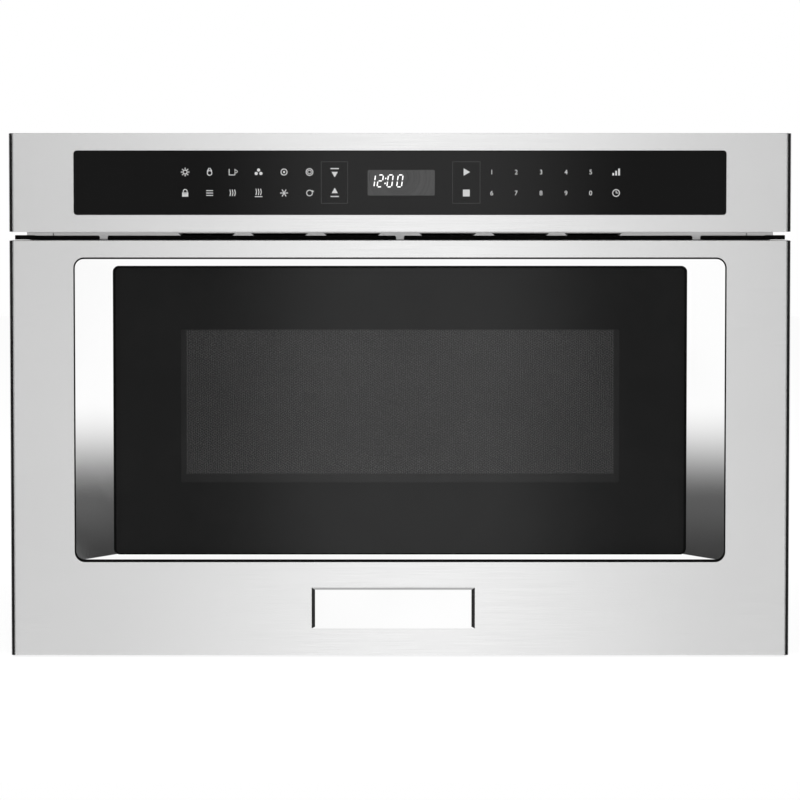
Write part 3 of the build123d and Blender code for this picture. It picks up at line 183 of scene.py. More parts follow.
spangle, spangle_in, spangle_out = new_group(
    "zinc spangle", [("Scale", "Float", 120.0)], ["Crystal", "Edge"]
)
spangle_place = object_place(spangle)
spangle_warp = noise(spangle, spangle_place, 90.0, 2.0).outputs["Color"]
spangle_bent = add(
    spangle,
    "VectorMath",
    {0: spangle_warp, 1: (crystal_bend, crystal_bend, crystal_bend), 2: spangle_place},
    operation="MULTIPLY_ADD",
).outputs[0]
spangle_cells = add(
    spangle, "TexVoronoi", {"Vector": spangle_bent, "Scale": spangle_in.outputs["Scale"]}
)
spangle_tone = add(spangle, "SeparateColor", {0: spangle_cells.outputs["Color"]}).outputs[0]
spangle_edge = fade(spangle, spangle_cells.outputs["Distance"], 0.2, 0.7)
spangle.links.new(spangle_tone, spangle_out.inputs["Crystal"])
spangle.links.new(spangle_edge, spangle_out.inputs["Edge"])
print("zinc spangle has", len(spangle.nodes), "nodes")

# %% Handling: faint smears that change how sharply a surface shines
handling, handling_in, handling_out = new_group(
    "handling", [("Clean", "Float", 0.05), ("Smeared", "Float", 0.12)], ["Level"]
)
handling_noise = noise(handling, object_place(handling), 11.0, 5.0, Distortion=0.6).outputs[0]
smear_mask = fade(handling, handling_noise, 0.45, 0.75)
clean, smeared = handling_in.outputs["Clean"], handling_in.outputs["Smeared"]
handling.links.new(mixed(handling, smear_mask, clean, smeared, "FLOAT"), handling_out.inputs[0])
print("handling has", len(handling.nodes), "nodes")

# %% [markdown]
# ## Recipes for kinds of material
# A metal, a plastic and a glass differ in a few settings of one shader. Each recipe starts a
# material, places the shared effects that such a surface shows, and leaves the numbers that are the
# same all over on the shader's own sockets.

# %% Start a material


def start(name, **constants):
    """A new material: its node tree and its one shader, with plain values set on the sockets."""
    material = bpy.data.materials.new(name)
    material.use_nodes = True
    shader = material.node_tree.nodes["Principled BSDF"]
    for setting, value in constants.items():
        socket = setting.replace("_", " ").title().replace("Ior", "IOR")
        shader.inputs[socket].default_value = value
    return material, material.node_tree, shader


def relief(tree, shader, height, depth):
    """Bumps the surface by a height from 0 to 1 that stands for a depth in metres."""
    bump = add(tree, "Bump", {"Height": height, "Distance": depth, "Strength": 1.0})
    tree.links.new(bump.outputs[0], shader.inputs["Normal"])


# %% Sheet metal with a grain


def sheet_metal(name, dark, light, shine, stretch, depth, **constants):
    """Metal whose tone and shine follow a grain. Shine is the roughness's low and high ends."""
    material, tree, shader = start(name, metallic=1.0, **constants)
    streak, cloud = add(tree, "Group", {"Stretch": stretch}, node_tree=grain).outputs
    fine, broad = maths(tree, "MULTIPLY", streak, 0.75), maths(tree, "MULTIPLY", cloud, 0.25)
    tone = maths(tree, "ADD", fine, broad)
    tree.links.new(mixed(tree, tone, dark, light), shader.inputs["Base Color"])
    tree.links.new(fade(tree, streak, 0.0, 1.0, shine[1], shine[0]), shader.inputs["Roughness"])
    relief(tree, shader, streak, depth)
    return material


# %% Moulded plastic, rubber, print and sprayed coats


def moulded(name, low, high, shine, scale, depth, **constants):
    """A coat or moulding with a fine texture, slow patches of tone, and a roughness span, shine."""
    material, tree, shader = start(name, **constants)
    height, patch = add(tree, "Group", {"Scale": scale}, node_tree=texture).outputs
    tree.links.new(mixed(tree, patch, low, high), shader.inputs["Base Color"])
    tree.links.new(fade(tree, height, *wide_span, *shine), shader.inputs["Roughness"])
    relief(tree, shader, height, depth)
    return material


# %% Glass


def glass(name, tint, roughness=0.0, bending=1.5):
    """Clear or tinted glass with faint smears. The tint is what both faces together let through."""
    material, tree, shader = start(name, roughness=roughness, transmission_weight=1.0, ior=bending)
    smears = add(tree, "Group", {"Clean": 0.0, "Smeared": 1.0}, node_tree=handling)
    dimmed = (*(0.96 * part for part in tint[:3]), 1.0)
    tree.links.new(mixed(tree, smears.outputs[0], tint, dimmed), shader.inputs["Base Color"])
    return material


# %% [markdown]
# ## Brushed steel for the two front panels
# The panels are stainless sheet brushed from side to side. Each scratch spreads light up and down
# and hardly sideways, so a lamp shows as a soft upright band. An even noise would look like dull
# paint. The shader's anisotropy gives the band, with a tangent that runs level round every face,
# and the stretched grain gives the fine lines that show close up.

# %% Brushed steel
finishes = {}
quarter_turn = 0.25  # light spreads across the scratches, not along them
brushed_steel = sheet_metal(
    "brushed_steel",
    grey(233),
    grey(240),
    shine=(0.2, 0.26),
    stretch=(26.0, 3200.0, 3200.0),
    depth=0.0012 * mm,
    anisotropic=1.0,
    anisotropic_rotation=quarter_turn,
)
tree = brushed_steel.node_tree
level_tangent = add(tree, "Tangent", direction_type="RADIAL", axis="Z")
tree.links.new(level_tangent.outputs[0], tree.nodes["Principled BSDF"].inputs["Tangent"])
finishes["brushed_steel"] = brushed_steel
print("brushed steel has", len(tree.nodes), "nodes")

# %% [markdown]
# ## Polished and plain metals
# The bezel of the window recess and the badge are buffed until they mirror the room, so their tone
# is nearly all reflection and only faint smears show. The bezel's flat walls meet in crisp lines at
# its corners, where the CAD model is smoothly rounded. Those lines are drawn in light: each point
# of a corner mirrors the room as the flat wall on its side of the line would. The rest of the
# metals are mill finishes: the rolled steel of the frames, the zinc coat of the case, and cast or
# drawn aluminium.

# %% Polished steel
polished_steel, tree, shader = start("polished_steel", metallic=1.0)
smears = add(tree, "Group", {"Clean": 0.012, "Smeared": 0.035}, node_tree=handling)
tree.links.new(smears.outputs[0], shader.inputs["Roughness"])
buffing = add(tree, "Group", {"Stretch": (9.0, 9.0, 9.0)}, node_tree=grain).outputs["Cloud"]
tree.links.new(mixed(tree, buffing, grey(243), grey(247)), shader.inputs["Base Color"])
finishes["polished_steel"] = polished_steel
print("polished steel has", len(tree.nodes), "nodes")

# %% Mitred corners for the bezel: which wall is a point on?
# the walls run outwards from the pane's outline and forwards to the skin
pane_half_x, pane_bottom, pane_top = 222.8 * mm, 80.0 * mm, 304.8 * mm
side_run, lower_run, upper_run = 29.05 * mm, 4.4 * mm, 5.4 * mm
wall_depth = 4.4 * mm

mitred_steel = polished_steel.copy()
mitred_steel.name = "mitred_steel"
mitre = mitred_steel.node_tree
spot_x, _, spot_z = add(mitre, "SeparateXYZ", {0: object_place(mitre)}).outputs


def runs_past(value, edge, run):
    """How far a value is past an edge, in lengths of a wall's run."""
    return maths(mitre, "DIVIDE", maths(mitre, "SUBTRACT", value, edge), run)


past_side = runs_past(maths(mitre, "ABSOLUTE", spot_x), pane_half_x, side_run)
past_bottom = runs_past(spot_z, pane_bottom, -lower_run)
past_top = runs_past(spot_z, pane_top, upper_run)
past_end = maths(mitre, "MAXIMUM", past_bottom, past_top)
on_side = maths(mitre, "GREATER_THAN", past_side, past_end)
on_upper = maths(mitre, "GREATER_THAN", past_top, past_bottom)
print("pane outline", in_mm((2 * pane_half_x, pane_top - pane_bottom)), "mm")

# %% Mitred corners for the bezel: give it that wall's direction
# a sloping wall faces the front less than the flat rim and more than the folded edge, in minus Y
flat_rim, folded_edge = -0.994, -0.3


def wall_direction(run):
    """How much a wall leans to the middle, and how much it faces the front."""
    tilt = math.atan(wall_depth / run)
    return math.sin(tilt), -math.cos(tilt)


side_lean, side_front = wall_direction(side_run)
lower_lean, lower_front = wall_direction(lower_run)
upper_lean, upper_front = wall_direction(upper_run)
inward = maths(mitre, "MULTIPLY", maths(mitre, "SIGN", spot_x), -side_lean)
side_wall = add(mitre, "CombineXYZ", {0: inward, 1: side_front}).outputs[0]
lower_wall, upper_wall = (0.0, lower_front, lower_lean), (0.0, upper_front, -upper_lean)
end_wall = mixed(mitre, on_upper, lower_wall, upper_wall, "VECTOR")
flat_wall = mixed(mitre, on_side, end_wall, side_wall, "VECTOR")
true_direction = add(mitre, "TexCoord").outputs["Normal"]
facing = add(mitre, "SeparateXYZ", {0: true_direction}).outputs[1]
past_rim = maths(mitre, "GREATER_THAN", facing, flat_rim)
before_fold = maths(mitre, "LESS_THAN", facing, folded_edge)
on_slope = maths(mitre, "MULTIPLY", past_rim, before_fold)
direction = mixed(mitre, on_slope, true_direction, flat_wall, "VECTOR")
in_room = add(
    mitre,
    "VectorTransform",
    {0: direction},
    vector_type="NORMAL",
    convert_from="OBJECT",
    convert_to="WORLD",
).outputs[0]
mitre.links.new(in_room, mitre.nodes["Principled BSDF"].inputs["Normal"])
bezel_low, bezel_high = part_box("recess_bezel")
print("bezel from", in_mm(bezel_low), "to", in_mm(bezel_high), "mm")

# %% Rolled steel sheets and aluminium
# each with its darkest and lightest tone, roughness span, grain along X, Y and Z, and depth in mm
for name, dark, light, shine, stretch, depth in (
    ("sheet_steel", 170, 186, (0.3, 0.42), (350.0, 350.0, 12.0), 0.004),
    ("vent_steel", 206, 220, (0.32, 0.42), (10.0, 600.0, 600.0), 0.003),
    ("cavity_steel", 196, 210, (0.24, 0.34), (500.0, 9.0, 500.0), 0.003),
    ("aluminium", 200, 216, (0.3, 0.45), (260.0, 260.0, 60.0), 0.004),
):
    finishes[name] = sheet_metal(name, grey(dark), grey(light), shine, stretch, depth * mm)
    print("made", name)

# %% Zinc-coated steel
zinc_steel, tree, shader = start("zinc_steel", metallic=1.0)
crystal, crystal_edge = add(tree, "Group", {"Scale": 110.0}, node_tree=spangle).outputs
tree.links.new(mixed(tree, crystal, grey(172), grey(198)), shader.inputs["Base Color"])
tree.links.new(fade(tree, crystal, 0.0, 1.0, 0.34, 0.5), shader.inputs["Roughness"])
relief(tree, shader, crystal_edge, 0.004 * mm)
finishes["zinc_steel"] = zinc_steel
print("zinc-coated steel has", len(tree.nodes), "nodes")

# %% [markdown]
# ## Enamel, ceramic, mica and plastics
# These are matt or glossy coats and mouldings. What tells them apart is the scale of their texture:
# the peel of an enamel coat is millimetres wide, the grain of a moulding a fraction of one, and
# mica board is pressed from flakes.

# %% Coats and mouldings
# each with its two tones, roughness span, texture scale and depth in mm
for name, low, high, shine, scale, depth in (
    ("black_plastic", grey(26), grey(31), (0.42, 0.56), 1500.0, 0.02),
    ("white_plastic", grey(224), grey(232), (0.35, 0.45), 1200.0, 0.01),
    ("rubber", grey(30), grey(38), (0.7, 0.85), 1400.0, 0.03),
    ("grey_enamel", grey(150), grey(156), (0.16, 0.24), 260.0, 0.02),
    ("ceramic", rgb(205, 203, 197), rgb(213, 211, 206), (0.1, 0.18), 420.0, 0.006),
):
    finishes[name] = moulded(name, low, high, shine, scale, depth * mm)
    print("made", name)
fine_scale, fine_depth = 1800.0, 0.004 * mm
finishes["black_screen"] = moulded(
    "black_screen", grey(215), grey(228), (0.24, 0.3), fine_scale, fine_depth, metallic=1.0
)

# %% Mica board: pressed flakes
mica, tree, shader = start("mica", roughness=0.35)
flake = add(tree, "Group", {"Scale": 160.0}, node_tree=spangle).outputs["Crystal"]
flake_tone = mixed(tree, flake, rgb(176, 160, 132), rgb(204, 192, 168))
tree.links.new(flake_tone, shader.inputs["Base Color"])
relief(tree, shader, flake, 0.02 * mm)
finishes["mica"] = mica
print("mica has", len(tree.nodes), "nodes")

# %% [markdown]
# ## Electrical parts
# A transformer's core is a stack of thin plates, and its windings are rows of lacquered wire. Both
# are stripes far too fine to model, so a wave texture across the stack gives tone and relief. The
# circuit boards get a solder mask with paler tracks.

# %% Stripes of plates and of wire
waves_per_metre = 3.18  # a wave texture's bands at a scale of 1


def striped(name, dark, light, direction, pitch, depth, **constants):
    """Parallel plates or wires: bands across a direction, each a pitch wide."""
    material, tree, shader = start(name, **constants)
    bands = add(
        tree,
        "TexWave",
        {"Vector": object_place(tree), "Scale": 1 / pitch / waves_per_metre, "Distortion": 0.15},
        bands_direction=direction,
    ).outputs[1]
    tree.links.new(mixed(tree, bands, dark, light), shader.inputs["Base Color"])
    relief(tree, shader, bands, depth)
    return material


finishes["core_steel"] = striped(
    "core_steel", grey(74), grey(104), "Y", 1.0 * mm, 0.1 * mm, metallic=0.7, roughness=0.45
)
copper_dark, copper_light = rgb(96, 40, 22), rgb(186, 98, 56)
finishes["copper_winding"] = striped(
    "copper_winding",
    copper_dark,
    copper_light,
    "Z",
    pitch=1.1 * mm,
    depth=0.3 * mm,
    metallic=0.85,
    roughness=0.3,
)
print("made core_steel and copper_winding")

# %% Circuit board
circuit_board, tree, shader = start("circuit_board", roughness=0.38)
tracks = add(
    tree,
    "TexBrick",
    {
        "Vector": object_place(tree),
        "Scale": 160.0,
        "Mortar Size": 0.03,
        "Color1": rgb(24, 78, 52),
        "Color2": rgb(20, 68, 46),
        "Mortar": rgb(60, 122, 84),
    },
)
tree.links.new(tracks.outputs["Color"], shader.inputs["Base Color"])
relief(tree, shader, tracks.outputs[1], 0.03 * mm)
finishes["circuit_board"] = circuit_board
print("circuit board has", len(tree.nodes), "nodes")

# %% [markdown]
# ## Glasses and the display
# The control glass and the window pane are both dark, and both have something behind them that has
# to show: the display's digits and the perforated screen. So they are real tinted glass with black
# print on their backs, as on the oven itself, and not just black paint. Dark glass swallows light
# twice, on its way in and out, so the screen behind it is bright metal. The inner pane, behind the
# screen, is dark too and has a coat against reflections.

# %% Tinted and clear glass
dark_tint = grey(150)
coated = 1.15  # a coat against reflections: light bends less and mirrors less
window_glass = glass("window_glass_tint", dark_tint)
finishes["black_glass"] = glass("control_glass_tint", dark_tint)
finishes["clear_glass"] = glass("inner_glass_tint", dark_tint, bending=coated)
finishes["bulb_glass"] = glass("bulb_glass", rgb(250, 246, 236), roughness=0.03)
print("dark glass lets through", round(dark_tint[0], 2), "of the light")

# %% The display's lit face
display, tree, shader = start("display", base_color=grey(40), roughness=0.3, emission_strength=1.0)
glow = add(tree, "Group", {"Scale": 420.0}, node_tree=texture).outputs["Patch"]
tree.links.new(mixed(tree, glow, grey(95), grey(99)), shader.inputs["Emission Color"])
finishes["display"] = display
print("display has", len(tree.nodes), "nodes")

# %% Give every CAD node its finish
for piece in nodes.values():
    for slot in piece.material_slots:
        slot.material = finishes[slot.material.name.split(".")[0]]
nodes["door_glass"].material_slots[0].material = window_glass
nodes["recess_bezel"].material_slots[0].material = mitred_steel
print("finished", len(nodes), "CAD nodes in", len(finishes) + 2, "materials")

# %% [markdown]
# ## The perforated screen behind the window
# A microwave door is closed by a thin steel sheet with thousands of small holes: light gets through
# them and microwaves don't. A picture of dots would slide or blur from the side, so the holes are
# real. One hexagon is copied along a row and then over all rows, and the rows are staggered, so
# that the cells close up without gaps. Each cell is inset, and what is left inside is cut out. Six
# sides a hole are enough at this size.

# %% Helpers for pieces


def placed(shape, name, material):
    """Closes a bmesh into an object of its own in the scene."""
    mesh = bpy.data.meshes.new(name)
    shape.to_mesh(mesh)
    shape.free()
    mesh.materials.append(material)
    piece = bpy.data.objects.new(name, mesh)
    bpy.context.scene.collection.objects.link(piece)
    return piece


def finished(shape, name, material, body):
    """A piece of the oven, which rides on a body."""
    piece = placed(shape, name, material)
    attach(piece, body)
    return piece


def facing_front(y):
    """Takes a drawing in X and Y to a plane parallel to the front: its Y becomes height."""
    return Matrix.Translation((0, y, 0)) @ Matrix.Rotation(math.pi / 2, 4, "X")


def copies(shape, step, count):
    """Repeats a whole shape along a step: a spin by no angle, with a shift."""
    whole = shape.verts[:] + shape.edges[:] + shape.faces[:]
    bmesh.ops.spin(
        shape, geom=whole, axis=(0, 0, 1), dvec=step, steps=count - 1, use_duplicate=True
    )


# %% Cut the holes
screen_low, screen_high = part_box("window_screen")
hole_pitch = 1.97 * mm
hole_width = 1.25 * mm
holed_x = 166.5 * mm
holed_z = (142.2 * mm, 255.0 * mm)
column_step = hole_pitch * math.sqrt(3) / 2
column_pairs = round(holed_x / column_step)
rows = round((holed_z[1] - holed_z[0]) / hole_pitch)
cell_radius = hole_pitch / math.sqrt(3)
web = (hole_pitch - hole_width) / 2
# a circle's first corner is above its middle: a twelfth of a turn puts the cells' flat sides there
twelfth = Matrix.Rotation(math.pi / 6, 4, "Z")

screen = bmesh.new()
for shift in ((0, 0), (column_step, hole_pitch / 2)):
    spot = Matrix.Translation((*shift, 0)) @ twelfth
    bmesh.ops.create_circle(screen, cap_ends=True, segments=6, radius=cell_radius, matrix=spot)
copies(screen, (0, hole_pitch, 0), rows)
copies(screen, (2 * column_step, 0, 0), column_pairs)
bmesh.ops.remove_doubles(screen, verts=screen.verts[:], dist=0.01 * mm)
cells = screen.faces[:]
bmesh.ops.inset_individual(screen, faces=cells, thickness=web, use_even_offset=True)
bmesh.ops.delete(screen, geom=cells, context="FACES")
print("screen holes", len(cells), "faces left", len(screen.faces))

# %% Helpers for flat rings: margins, prints and seals


def rectangle(shape, spot, width, height):
    """One flat face of a size, put down at a spot. Gives its corners."""
    matrix = spot @ Matrix.Diagonal((width, height, 1, 1))
    made = bmesh.ops.create_grid(shape, x_segments=1, y_segments=1, size=0.5, matrix=matrix)
    return made["verts"]


def outline(shape, x, z, radius):
    """A rectangle with rounded corners between its spans, as a face drawn in X and Y."""
    middle = Matrix.Translation((sum(x) / 2, sum(z) / 2, 0))
    corners = rectangle(shape, middle, x[1] - x[0], z[1] - z[0])
    if radius:
        bmesh.ops.bevel(
            shape,
            geom=corners,
            offset=radius,
            segments=8,
            profile=0.5,
            affect="VERTICES",
            material=-1,
        )


def thicken(shape, faces, thickness):
    """Gives drawn faces a thickness, towards what becomes the front."""
    grown = bmesh.ops.extrude_face_region(shape, geom=faces)["geom"]
    raised = [item for item in grown if isinstance(item, bmesh.types.BMVert)]
    bmesh.ops.translate(shape, verts=raised, vec=(0, 0, thickness))
    bmesh.ops.recalc_face_normals(shape, faces=shape.faces[:])


def ring_sheet(outer, inner, y, thickness, radii=(0.0, 0.0)):
    """A flat ring parallel to the front, between two outlines of X and Z spans, its front at y."""
    sheet = bmesh.new()
    outline(sheet, *outer, radii[0])
    outline(sheet, *inner, radii[1])
    bmesh.ops.delete(sheet, geom=sheet.faces[:], context="FACES_ONLY")
    bmesh.ops.bridge_loops(sheet, edges=sheet.edges[:])
    thicken(sheet, sheet.faces[:], thickness)
    bmesh.ops.transform(sheet, matrix=facing_front(y + thickness), verts=sheet.verts[:])
    return sheet


# %% Close the screen's edge with a plain margin
holes_behind_front = 0.3 * mm
margin_corner = 4.0 * mm
lattice_x = (2 * column_pairs - 1) * column_step / 2
lattice_z = (rows - 1) * hole_pitch / 2 + hole_pitch / 4
shift = (-lattice_x, sum(holed_z) / 2 - lattice_z, 0)
bmesh.ops.translate(screen, verts=screen.verts[:], vec=shift)
screen_place = facing_front(screen_low.y + holes_behind_front)
bmesh.ops.transform(screen, matrix=screen_place, verts=screen.verts[:])
perforated_screen = finished(screen, "perforated_screen", finishes["black_screen"], "drawer")
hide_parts("window_screen")

screen_black = moulded("screen_black", grey(103), grey(116), (0.5, 0.6), fine_scale, fine_depth)
margin = ring_sheet(
    ((screen_low.x, screen_high.x), (screen_low.z, screen_high.z)),
    ((-holed_x, holed_x), holed_z),
    screen_low.y,
    screen_high.y - screen_low.y,
    (margin_corner, 0.0),
)
screen_margin = finished(margin, "screen_margin", screen_black, "drawer")
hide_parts("window_screen")
print("screen from", in_mm(screen_low), "to", in_mm(screen_high), "mm")

# %% [markdown]
# ## Black print on the backs of the glasses
# Oven glass is printed on its back with black ceramic ink and fired. The print hides the seams, the
# glue and the board, and leaves clear windows. It is a sheet a twentieth of a millimetre thick,
# just inside the glass's rear face, so it never fights with what touches the glass. Through the
# window pane the ink looks a little paler than through the control glass, so the two inks differ.

# %% Print the window pane
ink_texture = {"shine": (0.45, 0.55), "scale": 2500.0, "depth": 0.002 * mm}
dull = 0.1  # hardly any mirroring at the face
black_print = moulded("black_print", grey(14), grey(17), **ink_texture, specular_ior_level=dull)
window_black = moulded("window_black", grey(62), grey(68), **ink_texture, specular_ior_level=dull)
print_thickness, print_inset = 0.05 * mm, 0.3 * mm
print_corners = (2.0 * mm, 0.6 * mm)


def printed_back(node, window, name, body, ink):
    """Print over the back of a glass, with a clear window given by its X and Z spans."""
    low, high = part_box(node)
    across = (low.x + print_inset, high.x - print_inset)
    upright = (low.z + print_inset, high.z - print_inset)
    front = high.y - 2 * print_thickness
    sheet = ring_sheet((across, upright), window, front, print_thickness, print_corners)
    piece = finished(sheet, name, ink, body)
    return piece


door_window = ((-170.5 * mm, 170.5 * mm), (136.0 * mm, 255.3 * mm))
printed_back("door_glass", door_window, "window_print", "drawer", window_black)
print("door window", [in_mm(span) for span in door_window], "mm")

# %% Print the control glass
display_low, display_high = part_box("display_module")
display_x, display_z = (display_low.x + display_high.x) / 2, (display_low.z + display_high.z) / 2
half_width, half_height = 26.0 * mm, 9.9 * mm
display_opening = (
    (display_x - half_width, display_x + half_width),
    (display_z - half_height, display_z + half_height),
)
printed_back("control_glass", display_opening, "control_print", "case", black_print)
print("display window", [in_mm(span) for span in display_opening], "mm")

# %% [markdown]
# ## Seals and painted shade in the seams
# A dark line runs round the window recess, wider along its lower edge, where the bezel comes
# through the skin. It is painted shade: a ring of black that stands a hair proud of the steel and
# laps the bezel's rim, put in place of the shadow in that gap. A thinner seal frames the front of
# the pane inside the bezel. Another black strip, thicker at its ends, lies behind the lower slots
# of the vent and closes the gap over the drawer, so those slots look black: painted shade for the
# dark inside the slots. All three are thin, so they are modelled here and not in the CAD model.

# %% Lay the ring of painted shade round the recess
skin_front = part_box("drawer_front_skin")[0].y
recess_x = 252.25 * mm
recess_z = (75.2 * mm, 310.6 * mm)
recess_corner = 7.4 * mm
seam = 0.8 * mm
lap_side, lap_over, lap_under = 0.4 * mm, 0.5 * mm, 1.4 * mm
shade_ring_proud, shade_ring_thickness = 0.06 * mm, 0.6 * mm
inner_x = recess_x - lap_side
# painted shade: this black ring stands for the shadow in the gap round the recess, widest at the foot
recess_shade_ring = ring_sheet(
    ((-recess_x - seam, recess_x + seam), (recess_z[0] - seam, recess_z[1] + seam)),
    ((-inner_x, inner_x), (recess_z[0] + lap_under, recess_z[1] - lap_over)),
    skin_front - shade_ring_proud,
    shade_ring_thickness,
    (recess_corner + seam, recess_corner - lap_over),
)
# black for the pane's seal, and for the painted shade round the recess and in the vent's lower slots
seal_and_shade_black = moulded(
    "seal_and_shade_black", grey(8), grey(12), (0.6, 0.75), 1400.0, 0.02 * mm, specular_ior_level=dull
)
recess_painted_shade = finished(recess_shade_ring, "recess_painted_shade", seal_and_shade_black, "drawer")
print("bead stands", shade_ring_proud / mm, "mm proud")

# %% Seal the pane into the bezel
pane_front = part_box("door_glass")[0].y
pane_x, pane_z = 222.75 * mm, (80.05 * mm, 304.75 * mm)
seal_side, seal_under, seal_over = 1.9 * mm, 0.8 * mm, 1.7 * mm
seal_thickness = 0.2 * mm
seal_x = pane_x - seal_side
seal = ring_sheet(
    ((-pane_x, pane_x), pane_z),
    ((-seal_x, seal_x), (pane_z[0] + seal_under, pane_z[1] - seal_over)),
    pane_front - seal_thickness,
    seal_thickness,
    (4.65 * mm, 3.4 * mm),
)
pane_seal = finished(seal, "pane_seal", seal_and_shade_black, "drawer")
print("pane seal", in_mm((seal_side, seal_under, seal_over)), "mm wide at side, foot and top")

# %% Fit the black strip of painted shade behind the vent's lower slots
vent_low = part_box("vent_grille")[0]
strip_z = (vent_low.z, vent_low.z + 3.4 * mm)
strip_half, strip_end = 298.8 * mm, 283.0 * mm
strip_back = 3.2 * mm
middle_depth, end_depth = 2.0 * mm, 3.6 * mm
# painted shade: a black strip that darkens the vent's lower slots, thicker at the ends
strip = bmesh.new()
for span, depth in (
    ((-strip_end, strip_end), middle_depth),
    ((-strip_half, -strip_end), end_depth),
    ((strip_end, strip_half), end_depth),
):
    before = set(strip.faces)
    outline(strip, span, strip_z, 0.5 * mm)
    thicken(strip, [face for face in strip.faces if face not in before], depth)
bmesh.ops.transform(strip, matrix=facing_front(vent_low.y + strip_back), verts=strip.verts[:])
# painted shade: the black strip makes the lower slots look dark
vent_slot_shade = finished(strip, "vent_slot_shade", seal_and_shade_black, "case")
print("vent strip", in_mm((2 * strip_half, strip_z[1] - strip_z[0])), "mm")

# %% [markdown]
# ## Marks on the control glass
# The keys are only marks: white ink on the glass, over a sheet that feels a finger. They are drawn
# flat, in millimetres, from bars, discs, rings and triangles, and the plain numbers come from a
# text object that is made a mesh. Everything that isn't a number is a simple sign, such as an arrow
# for opening, a triangle for starting and a square for stopping. Two faint frames join the keys of
# a pair.

# %% Inks


def ink(name, low, high):
    """Ink with a fine grain in its tone."""
    material, tree, shader = start(name, roughness=0.4)
    coat = add(tree, "Group", {"Scale": 3000.0}, node_tree=texture).outputs["Height"]
    tree.links.new(mixed(tree, coat, low, high), shader.inputs["Base Color"])
    return material


white_ink = ink("white_ink", grey(222), grey(240))
faint_ink = ink("faint_ink", grey(66), grey(74))
print("inks", white_ink.name, faint_ink.name)

# %% Pens: flat shapes of ink


def turned(x, z, tilt):
    """A spot on the drawing, turned by an angle in degrees."""
    return Matrix.Translation((x, z, 0)) @ Matrix.Rotation(math.radians(tilt), 4, "Z")


def bar(drawing, x, z, width, height, tilt=0.0):
    """A bar round a point. All in millimetres."""
    rectangle(drawing, turned(x, z, tilt), width, height)


def disc(drawing, x, z, radius, sides=20, tilt=0.0):
    """A disc, or with few sides a triangle or a square."""
    spot = turned(x, z, tilt)
    made = bmesh.ops.create_circle(
        drawing, cap_ends=True, segments=sides, radius=radius, matrix=spot
    )
    return list({face for vertex in made["verts"] for face in vertex.link_faces})


def frame_only(drawing, faces, line):
    """Cuts out the inside of faces and leaves their outlines, a line wide."""
    bmesh.ops.inset_individual(drawing, faces=faces, thickness=line, use_even_offset=True)
    bmesh.ops.delete(drawing, geom=faces, context="FACES")


def ring(drawing, x, z, radius, line):
    """A ring of ink with a line width: a disc whose inside is cut out."""
    frame_only(drawing, disc(drawing, x, z, radius), line)


def numeral(drawing, text, x, z, height):
    """Plain numerals of a given height, centred on a point."""
    letters = bpy.data.curves.new("numeral", "FONT")
    letters.body = text
    carrier = bpy.data.objects.new("numeral", letters)
    mesh = bpy.data.meshes.new_from_object(carrier)
    bpy.data.objects.remove(carrier)
    corners = [vertex.co for vertex in mesh.vertices]
    low = Vector([min(corner[axis] for corner in corners) for axis in range(3)])
    high = Vector([max(corner[axis] for corner in corners) for axis in range(3)])
    size = Matrix.Scale(height / (high.y - low.y), 4)
    mesh.transform(turned(x, z, 0.0) @ size @ Matrix.Translation(-(low + high) / 2))
    drawing.from_mesh(mesh)


# %% Signs for the programme keys, each drawn about 4 mm wide round the origin
pen = 0.45
thin_pen = 0.8 * pen


def sign_settings(d):
    ring(d, 0, 0, 1.3, pen)
    for tilt in (0, 45, 90, 135):
        for end in (-1.9, 1.9):
            angle = math.radians(tilt)
            bar(d, end * math.cos(angle), end * math.sin(angle), 1.0, pen, tilt)


def sign_drop(d):
    ring(d, 0, -0.5, 1.5, pen)
    bar(d, -0.75, 1.35, 2.1, pen, 60)
    bar(d, 0.75, 1.35, 2.1, pen, -60)


def sign_cup(d):
    bar(d, -0.3, -1.6, 3.2, pen)
    for side in (-1.9, 1.3):
        bar(d, side, 0, pen, 3.4)
    ring(d, 1.9, 0.3, 0.9, thin_pen)


def sign_dots(d):
    for x, z in ((-1.3, -0.8), (0, 1.1), (1.3, -0.8)):
        disc(d, x, z, 0.9)


def sign_pan(d):
    ring(d, 0, 0, 1.9, pen)
    disc(d, 0, 0, 0.6)


def sign_plate(d):
    ring(d, 0, 0, 2.1, pen)
    ring(d, 0, 0, 1.2, thin_pen)


def sign_lock(d):
    bar(d, 0, -0.8, 3.4, 2.4)
    ring(d, 0, 0.9, 1.3, pen)


def sign_layers(d):
    for z in (-1.3, 0, 1.3):
        bar(d, 0, z, 3.8, pen)


def sign_heat(d, z=0.0):
    for x in (-1.3, 0, 1.3):
        bar(d, x, z + 1.0, pen, 1.8, 14)
        bar(d, x, z - 0.8, pen, 1.8, -14)


def sign_kept_heat(d):
    sign_heat(d, 0.5)
    bar(d, 0, -2.0, 4.2, pen)


def sign_frost(d):
    for tilt in (0, 60, 120):
        bar(d, 0, 0, 4.4, pen, tilt)


def sign_again(d):
    ring(d, 0, 0, 1.8, pen)
    disc(d, 1.7, 0.9, 0.9, sides=3, tilt=-90)


def sign_steps(d):
    for x, height in ((-1.6, 1.4), (0, 2.6), (1.6, 3.8)):
        bar(d, x, -1.9 + height / 2, 1.0, height)


def sign_clock(d):
    ring(d, 0, 0, 2.1, pen)
    bar(d, 0, 0.6, pen, 1.4)
    bar(d, 0.5, 0, 1.3, pen)


def sign_open(d):
    bar(d, 0, 1.9, 4.6, 0.6)
    disc(d, 0, -0.9, 2.0, sides=3, tilt=180)


def sign_close(d):
    bar(d, 0, -1.9, 4.6, 0.6)
    disc(d, 0, 0.9, 2.0, sides=3)


def sign_start(d):
    disc(d, -0.3, 0, 2.4, sides=3, tilt=-90)


def sign_stop(d):
    bar(d, 0, 0, 3.8, 3.8)


